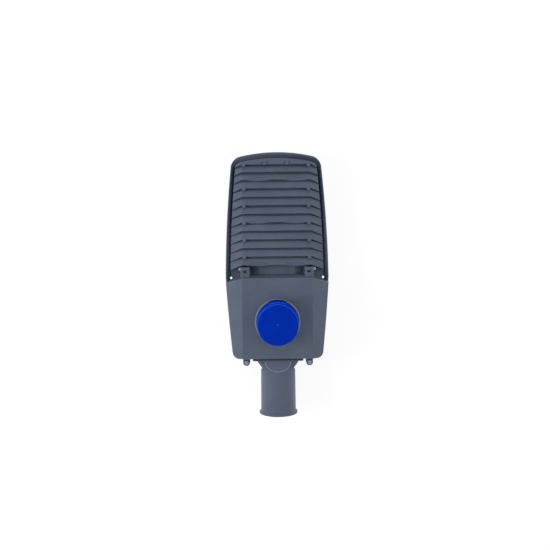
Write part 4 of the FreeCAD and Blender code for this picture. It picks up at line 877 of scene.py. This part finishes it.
@dataclass
class HousingShell(Assembly):
    """The slatted casting, its pole socket and their gasket."""

    tongue_half: float = 0.0253
    tongue_nose: float = 0.0885
    tongue_root: float = 0.1100
    bead_radius: float = 0.0007
    bead_steps: int = 40
    # The bead's height is that of the tongue just inside its line.
    bead_inside: float = 0.985
    bead_back: float = 0.0004
    lip_front: float = 0.1154
    lip_depth: float = 0.0036
    lip_height: float = 0.0008
    lip_inset: float = 0.0012
    lip_round: float = 0.0004
    scoop_x: float = 0.0370
    scoop_half: float = 0.0213
    scoop_reach: float = 0.0050
    scoop_ends: tuple[float, ...] = (0.3008, 0.3861, 0.4717)
    scoop_line: float = 0.0003

    def add_tongue_bead(self) -> None:
        """Adds the raised pale line that runs round the tongue's edge, a painted highlight."""
        path = []
        for step in range(self.bead_steps + 1):
            turn = math.pi * step / self.bead_steps
            x = self.tongue_half * math.cos(turn)
            y = self.tongue_root - (self.tongue_root - self.tongue_nose) * math.sin(turn)
            under = self.on_surface("spigot_adapter", x * self.bead_inside, y + self.bead_back)
            path.append(Vector((x, y, under.z)))
        mesh = bmesh.new()
        swept_bead(mesh, path, self.bead_radius)
        self.add_piece("tongue_bead", mesh, Finishes.HIGHLIGHT_PAINT, smooth=True)

    def add_scoop_lines(self) -> None:
        """Adds a dark line where each scoop of the slats runs out into its crest, as painted shade."""
        mesh = bmesh.new()
        for end in self.scoop_ends:
            for side in BOTH_SIDES:
                path = []
                for step in range(self.bead_steps + 1):
                    share = 2 * step / self.bead_steps - 1
                    x = side * self.scoop_x + self.scoop_half * share
                    y = end + self.scoop_reach * (1 - share ** 2)
                    path.append(self.on_surface("housing", x, y))
                swept_bead(mesh, path, self.scoop_line)
        self.add_piece("scoop_lines", mesh, Finishes.SHADE_LINE_PAINT, smooth=True)

    def add_plate_edge_strip(self) -> None:
        """Adds a thin black silicone strip along the plate's top edge."""
        low, high = self.corners("adapter_gasket")
        top = self.corners("spigot_adapter")[1].z
        mesh = bmesh.new()
        rounded_slab(
            mesh,
            Vector((low.x + self.lip_inset, self.lip_front - self.lip_depth, top - self.lip_height)),
            Vector((high.x - self.lip_inset, self.lip_front, top + self.lip_height)), self.lip_round)
        self.add_piece("plate_edge_strip", mesh, Finishes.BLACK_SILICONE)

    def dress(self) -> None:
        """Paints the castings and finishes their seals, bolts, gland and vent."""
        self.wear(Finishes.HOUSING_PAINT, "housing", "spigot_adapter")
        self.wear(Finishes.BLACK_SILICONE, "adapter_gasket", "cover_seal")
        self.wear(Finishes.STAINLESS, "adapter_bolts", "adapter_washers", "clamp_screws")
        self.wear(Finishes.BLACK_NYLON, "cable_gland", "gland_nut", "breather_vent")


@dataclass
class DriverCover(Assembly):
    """The hinged cover with its screws and the sensor's receptacle."""

    body: Body = Body.COVER
    edge_line: tuple[Span, ...] = (
        (0.0760, 0.2715), (0.0845, 0.2691), (0.0930, 0.2668), (0.0985, 0.2652), (0.1005, 0.2644),
        (0.1013, 0.2630), (0.1016, 0.2610), (0.1014, 0.2570))
    edge_radius: float = 0.0004

    def add_edge_beads(self) -> None:
        """Adds a thin raised pale line along the front edges of both side facets, a painted highlight.
        """
        mesh = bmesh.new()
        for side in BOTH_SIDES:
            path = [self.on_surface("driver_cover", side * x, y) for x, y in self.edge_line]
            swept_bead(mesh, path, self.edge_radius)
        self.add_piece("cover_edge_beads", mesh, Finishes.HIGHLIGHT_PAINT, smooth=True)

    def dress(self) -> None:
        """Paints the cover and finishes what it carries."""
        self.wear(Finishes.COVER_PAINT, "driver_cover")
        self.wear(Finishes.DULL_STAINLESS, "cover_screw_left", "cover_screw_right",
                  "hinge_screw_left", "hinge_screw_right")
        self.wear(Finishes.STAINLESS, "receptacle_screws")
        self.wear(Finishes.RECEPTACLE_GREY, "receptacle")
        self.wear(Finishes.BLACK_SILICONE, "receptacle_gasket")
        self.wear(Finishes.BRASS, "receptacle_contacts")


@dataclass
class LightSensor(Assembly):
    """The blue twist-lock light sensor."""

    body: Body = Body.SENSOR
    tab_radius: float = 0.0396
    tab_half_turn: float = 0.405
    tab_height: float = 0.1130
    lip_radius: float = 0.0013
    lip_steps: int = 24
    mark_radius: float = 0.0015
    mark_height: float = 0.0003
    # Radius and height of the mark's outline, as shares of the two sizes above.
    mark_outline: tuple[Span, ...] = (
        (0.0, 0.0), (1.0, 0.0), (1.0, 1.0), (0.8, 1.6), (0.35, 2.0), (0.0, 1.5))

    def axis(self) -> Vector:
        """A point on the sensor's upright axis."""
        low, high = self.corners("sensor_base")
        return (low + high) / 2

    def add_tab_lip(self) -> None:
        """Adds the rounded grip lip on the tab's ledge, its pale blue a painted highlight."""
        centre = self.axis()
        path = []
        for step in range(self.lip_steps + 1):
            turn = math.pi / 2 - self.tab_half_turn + 2 * self.tab_half_turn * step / self.lip_steps
            path.append(Vector((centre.x + self.tab_radius * math.cos(turn),
                                centre.y + self.tab_radius * math.sin(turn), self.tab_height)))
        mesh = bmesh.new()
        swept_bead(mesh, path, self.lip_radius)
        self.add_piece("sensor_tab_lip", mesh, Finishes.PALE_BLUE, smooth=True)

    def add_gate_mark(self) -> None:
        """Adds the pale scar where the plastic entered the mould."""
        centre = self.axis()
        top = self.corners("sensor_shell")[1].z
        profile = [(radius * self.mark_radius, height * self.mark_height)
                   for radius, height in self.mark_outline]
        mesh = bmesh.new()
        turned(mesh, Vector((centre.x, centre.y, top - self.mark_height)), profile)
        self.add_piece("sensor_gate_mark", mesh, Finishes.PALE_BLUE, smooth=True)

    def dress(self) -> None:
        """Colours the shell, its base and what it holds."""
        self.wear(Finishes.SENSOR_BLUE, "sensor_shell")
        self.wear(Finishes.BLACK_NYLON, "sensor_base")
        self.wear(Finishes.BLACK_SILICONE, "sensor_gasket")
        self.wear(Finishes.BRASS, "sensor_blades")
        self.wear(Finishes.GREEN_BOARD, "sensor_board")


@dataclass
class LampEngine(Assembly):
    """The lamp boards behind their glass, on the side that faces the road."""

    dome_radius: float = 0.0062
    dome_depth: float = 0.0026
    dome_seat: float = 0.0002
    dome_rings: int = 5

    def add_lens_domes(self) -> None:
        """Adds the crown of each lens over its lamp."""
        face = self.corners("lens_plate_left")[0].z
        profile = [(0.0, self.dome_seat), (self.dome_radius, self.dome_seat)]
        for ring in range(self.dome_rings):
            turn = math.pi / 2 * ring / self.dome_rings
            profile.append((self.dome_radius * math.cos(turn), -self.dome_depth * math.sin(turn)))
        profile.append((0.0, -self.dome_depth))
        mesh = bmesh.new()
        for low, high in self.loose_parts("led_chips"):
            middle = (low + high) / 2
            turned(mesh, Vector((middle.x, middle.y, face)), profile)
        self.add_piece("lens_domes", mesh, Finishes.LENS_ACRYLIC, smooth=True)

    def dress(self) -> None:
        """Finishes frame, glass, lenses and boards."""
        self.wear(Finishes.HOUSING_PAINT, "lens_frame")
        self.wear(Finishes.STAINLESS, "frame_screws", "board_screws")
        self.wear(Finishes.WINDOW_GLASS, "glass_panel")
        self.wear(Finishes.BLACK_SILICONE, "glass_seal")
        self.wear(Finishes.WHITE_BOARD, "led_board_left", "led_board_right")
        self.wear(Finishes.LAMP_PHOSPHOR, "led_chips")
        self.wear(Finishes.LENS_ACRYLIC, "lens_plate_left", "lens_plate_right")


@dataclass
class GearBay(Assembly):
    """The driver, surge protector and terminals on their tray."""

    label_length: float = 0.074
    label_width: float = 0.040
    label_height: float = 0.0003
    label_round: float = 0.0001

    def dress(self) -> None:
        """Finishes the gear."""
        self.wear(Finishes.ZINC_SHEET, "gear_tray")
        self.wear(Finishes.STAINLESS, "tray_screws", "terminal_screws")
        self.wear(Finishes.BRASS, "earth_screw")
        self.wear(Finishes.SATIN_ALUMINIUM, "led_driver")
        self.wear(Finishes.BLACK_NYLON, "driver_end_caps", "surge_protector")
        self.wear(Finishes.WHITE_NYLON, "terminal_block")

    def add_label(self) -> None:
        """Adds the driver's blank label."""
        low, high = self.corners("led_driver")
        middle = (low + high) / 2
        foot = Vector((middle.x, middle.y, high.z))
        half = Vector((self.label_length / 2, self.label_width / 2, 0.0))
        mesh = bmesh.new()
        rounded_slab(mesh, foot - half, foot + half + UP * self.label_height, self.label_round)
        self.add_piece("driver_label", mesh, Finishes.WHITE_NYLON)


@dataclass
class Studio:
    """Floor, light and camera of the product photograph."""

    # Half a millimetre under the head.
    floor_z: float = -0.0425
    floor_half: float = 4.0
    paper_tone: str = "#f4f4f4"
    # Seen directly, the paper glows a little so that it is white up to the frame's edge.
    glow_strength: float = 1.08
    glow_share: float = 0.80
    # What the table throws up at the object, where 1 is white.
    table_strength: float = 0.85
    camera_place: Triple = (-0.0043, 0.278, 1.016)
    aim_y: float = 0.2806
    roll_degrees: float = -0.63
    focal_pixels: float = 495.0
    frame_pixels: float = 550.0
    sensor_mm: float = 36.0
    # How bright the tent is, from the horizon to straight above.
    sky_levels: tuple[Span, ...] = (
        (0.0, 0.88), (0.30, 0.88), (0.50, 0.80), (0.66, 0.64), (0.88, 0.26), (1.0, 0.18))
    box_size: float = 0.7
    box_aim: Triple = (0.0, 0.3, 0.0)
    key_place: Triple = (-1.35, 0.20, 0.80)
    key_watts: float = 16.0
    fill_place: Triple = (1.20, 0.60, 0.80)
    fill_watts: float = 6.0

    def seen_directly(self, tree: Tree) -> Socket:
        """1 where the eye meets the backdrop straight, in metal or through glass.

        Args:
            tree: The node tree to add to.

        Returns:
            The value, 0 or 1.
        """
        path = add_node(tree, "ShaderNodeLightPath")
        mirrored = add_node(tree, "ShaderNodeMath", {
            0: path.outputs["Is Camera Ray"], 1: path.outputs["Is Glossy Ray"]}, operation="MAXIMUM")
        seen = add_node(tree, "ShaderNodeMath", {
            0: mirrored.outputs[0], 1: path.outputs["Is Transmission Ray"]}, operation="MAXIMUM")
        return seen.outputs[0]

    def add_floor(self) -> None:
        """A pale light table: it shows the object's shadow and lights what faces down."""
        mesh = bpy.data.meshes.new("studio_floor")
        half = self.floor_half
        mesh.from_pydata([(-half, -half, self.floor_z), (half, -half, self.floor_z),
                          (half, half, self.floor_z), (-half, half, self.floor_z)], [], [(0, 1, 2, 3)])
        floor = bpy.data.objects.new("studio_floor", mesh)
        bpy.context.scene.collection.objects.link(floor)
        material = bpy.data.materials.new("white_light_table")
        material.use_nodes = True
        tree = material.node_tree
        tree.nodes.clear()
        paper = add_node(tree, "ShaderNodeBsdfDiffuse", {"Color": linear(self.paper_tone)})
        glow = add_node(tree, "ShaderNodeEmission", {"Strength": self.glow_strength})
        seen = add_node(tree, "ShaderNodeMixShader", {
            "Fac": self.glow_share, 1: paper.outputs["BSDF"], 2: glow.outputs["Emission"]})
        table = add_node(tree, "ShaderNodeEmission", {"Strength": self.table_strength})
        top = add_node(tree, "ShaderNodeMixShader", {
            "Fac": self.seen_directly(tree), 1: table.outputs["Emission"], 2: seen.outputs["Shader"]})
        below = add_node(tree, "ShaderNodeBsdfTransparent")
        side = add_node(tree, "ShaderNodeNewGeometry")
        both = add_node(tree, "ShaderNodeMixShader", {
            "Fac": side.outputs["Backfacing"], 1: top.outputs["Shader"], 2: below.outputs["BSDF"]})
        add_node(tree, "ShaderNodeOutputMaterial", {"Surface": both.outputs["Shader"]})
        mesh.materials.append(material)

    def add_world(self) -> None:
        """A white tent that is darker straight above, where the camera stands."""
        world = bpy.data.worlds.new("white_tent")
        bpy.context.scene.world = world
        world.use_nodes = True
        tree = world.node_tree
        tree.nodes.clear()
        where = add_node(tree, "ShaderNodeTexCoord").outputs["Generated"]
        height = add_node(tree, "ShaderNodeSeparateXYZ", {"Vector": where}).outputs["Z"]
        sky = add_node(tree, "ShaderNodeValToRGB", {"Fac": height})
        stops = sky.color_ramp.elements
        stops.remove(stops[1])
        for number, (place, level) in enumerate(self.sky_levels):
            stop = stops[0] if number == 0 else stops.new(place)
            stop.position = place
            stop.color = (level, level, level, 1.0)
        white = add_node(tree, "ShaderNodeMix", {
            "Factor": self.seen_directly(tree), 2: sky.outputs["Color"], 3: 1.0})
        background = add_node(tree, "ShaderNodeBackground", {
            "Color": linear("#ffffff"), "Strength": white.outputs[0]})
        add_node(tree, "ShaderNodeOutputWorld", {"Surface": background.outputs["Background"]})

    def add_lamp(self, name: str, place: Vector, watts: float) -> None:
        """Adds a soft box that faces the head.

        Args:
            name: The lamp's name.
            place: Where it stands.
            watts: Its power.
        """
        data = bpy.data.lights.new(name, "AREA")
        data.shape = "SQUARE"
        data.size = self.box_size
        data.energy = watts
        lamp = bpy.data.objects.new(name, data)
        lamp.location = place
        lamp.visible_glossy = False
        lamp.rotation_mode = "QUATERNION"
        lamp.rotation_quaternion = (Vector(self.box_aim) - place).to_track_quat("-Z", "Y")
        bpy.context.scene.collection.objects.link(lamp)

    def add_camera(self) -> None:
        """The camera, straight above the cover's front edge."""
        data = bpy.data.cameras.new("photo_camera")
        data.sensor_width = self.sensor_mm
        data.lens = self.sensor_mm * self.focal_pixels / self.frame_pixels
        camera = bpy.data.objects.new("photo_camera", data)
        camera.location = self.camera_place
        camera.rotation_mode = "XYZ"
        _, away_y, away_z = self.camera_place
        tilt = math.atan2(self.aim_y - away_y, away_z)
        camera.rotation_euler = (tilt, 0.0, math.radians(self.roll_degrees))
        bpy.context.scene.collection.objects.link(camera)
        bpy.context.scene.camera = camera

    def build(self) -> None:
        """Sets up the whole studio, with the stronger soft box on the left."""
        bpy.context.scene.view_settings.view_transform = "Standard"
        self.add_camera()
        self.add_floor()
        self.add_world()
        self.add_lamp("key_box_left", Vector(self.key_place), self.key_watts)
        self.add_lamp("fill_box_right", Vector(self.fill_place), self.fill_watts)


def main() -> None:
    """Loads the frame, sets up the studio and builds each sub-assembly."""
    logging.basicConfig(level=logging.INFO, format="%(message)s")
    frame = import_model()
    Studio().build()
    nodes = frame["nodes"]
    finishes = Finishes()
    shell = HousingShell(nodes, finishes)
    shell.dress()
    shell.add_tongue_bead()
    shell.add_plate_edge_strip()
    shell.add_scoop_lines()
    cover = DriverCover(nodes, finishes)
    cover.dress()
    cover.add_edge_beads()
    sensor = LightSensor(nodes, finishes)
    sensor.dress()
    sensor.add_tab_lip()
    sensor.add_gate_mark()
    lamps = LampEngine(nodes, finishes)
    lamps.dress()
    lamps.add_lens_domes()
    bay = GearBay(nodes, finishes)
    bay.dress()
    bay.add_label()


if __name__ == "__main__":
    main()
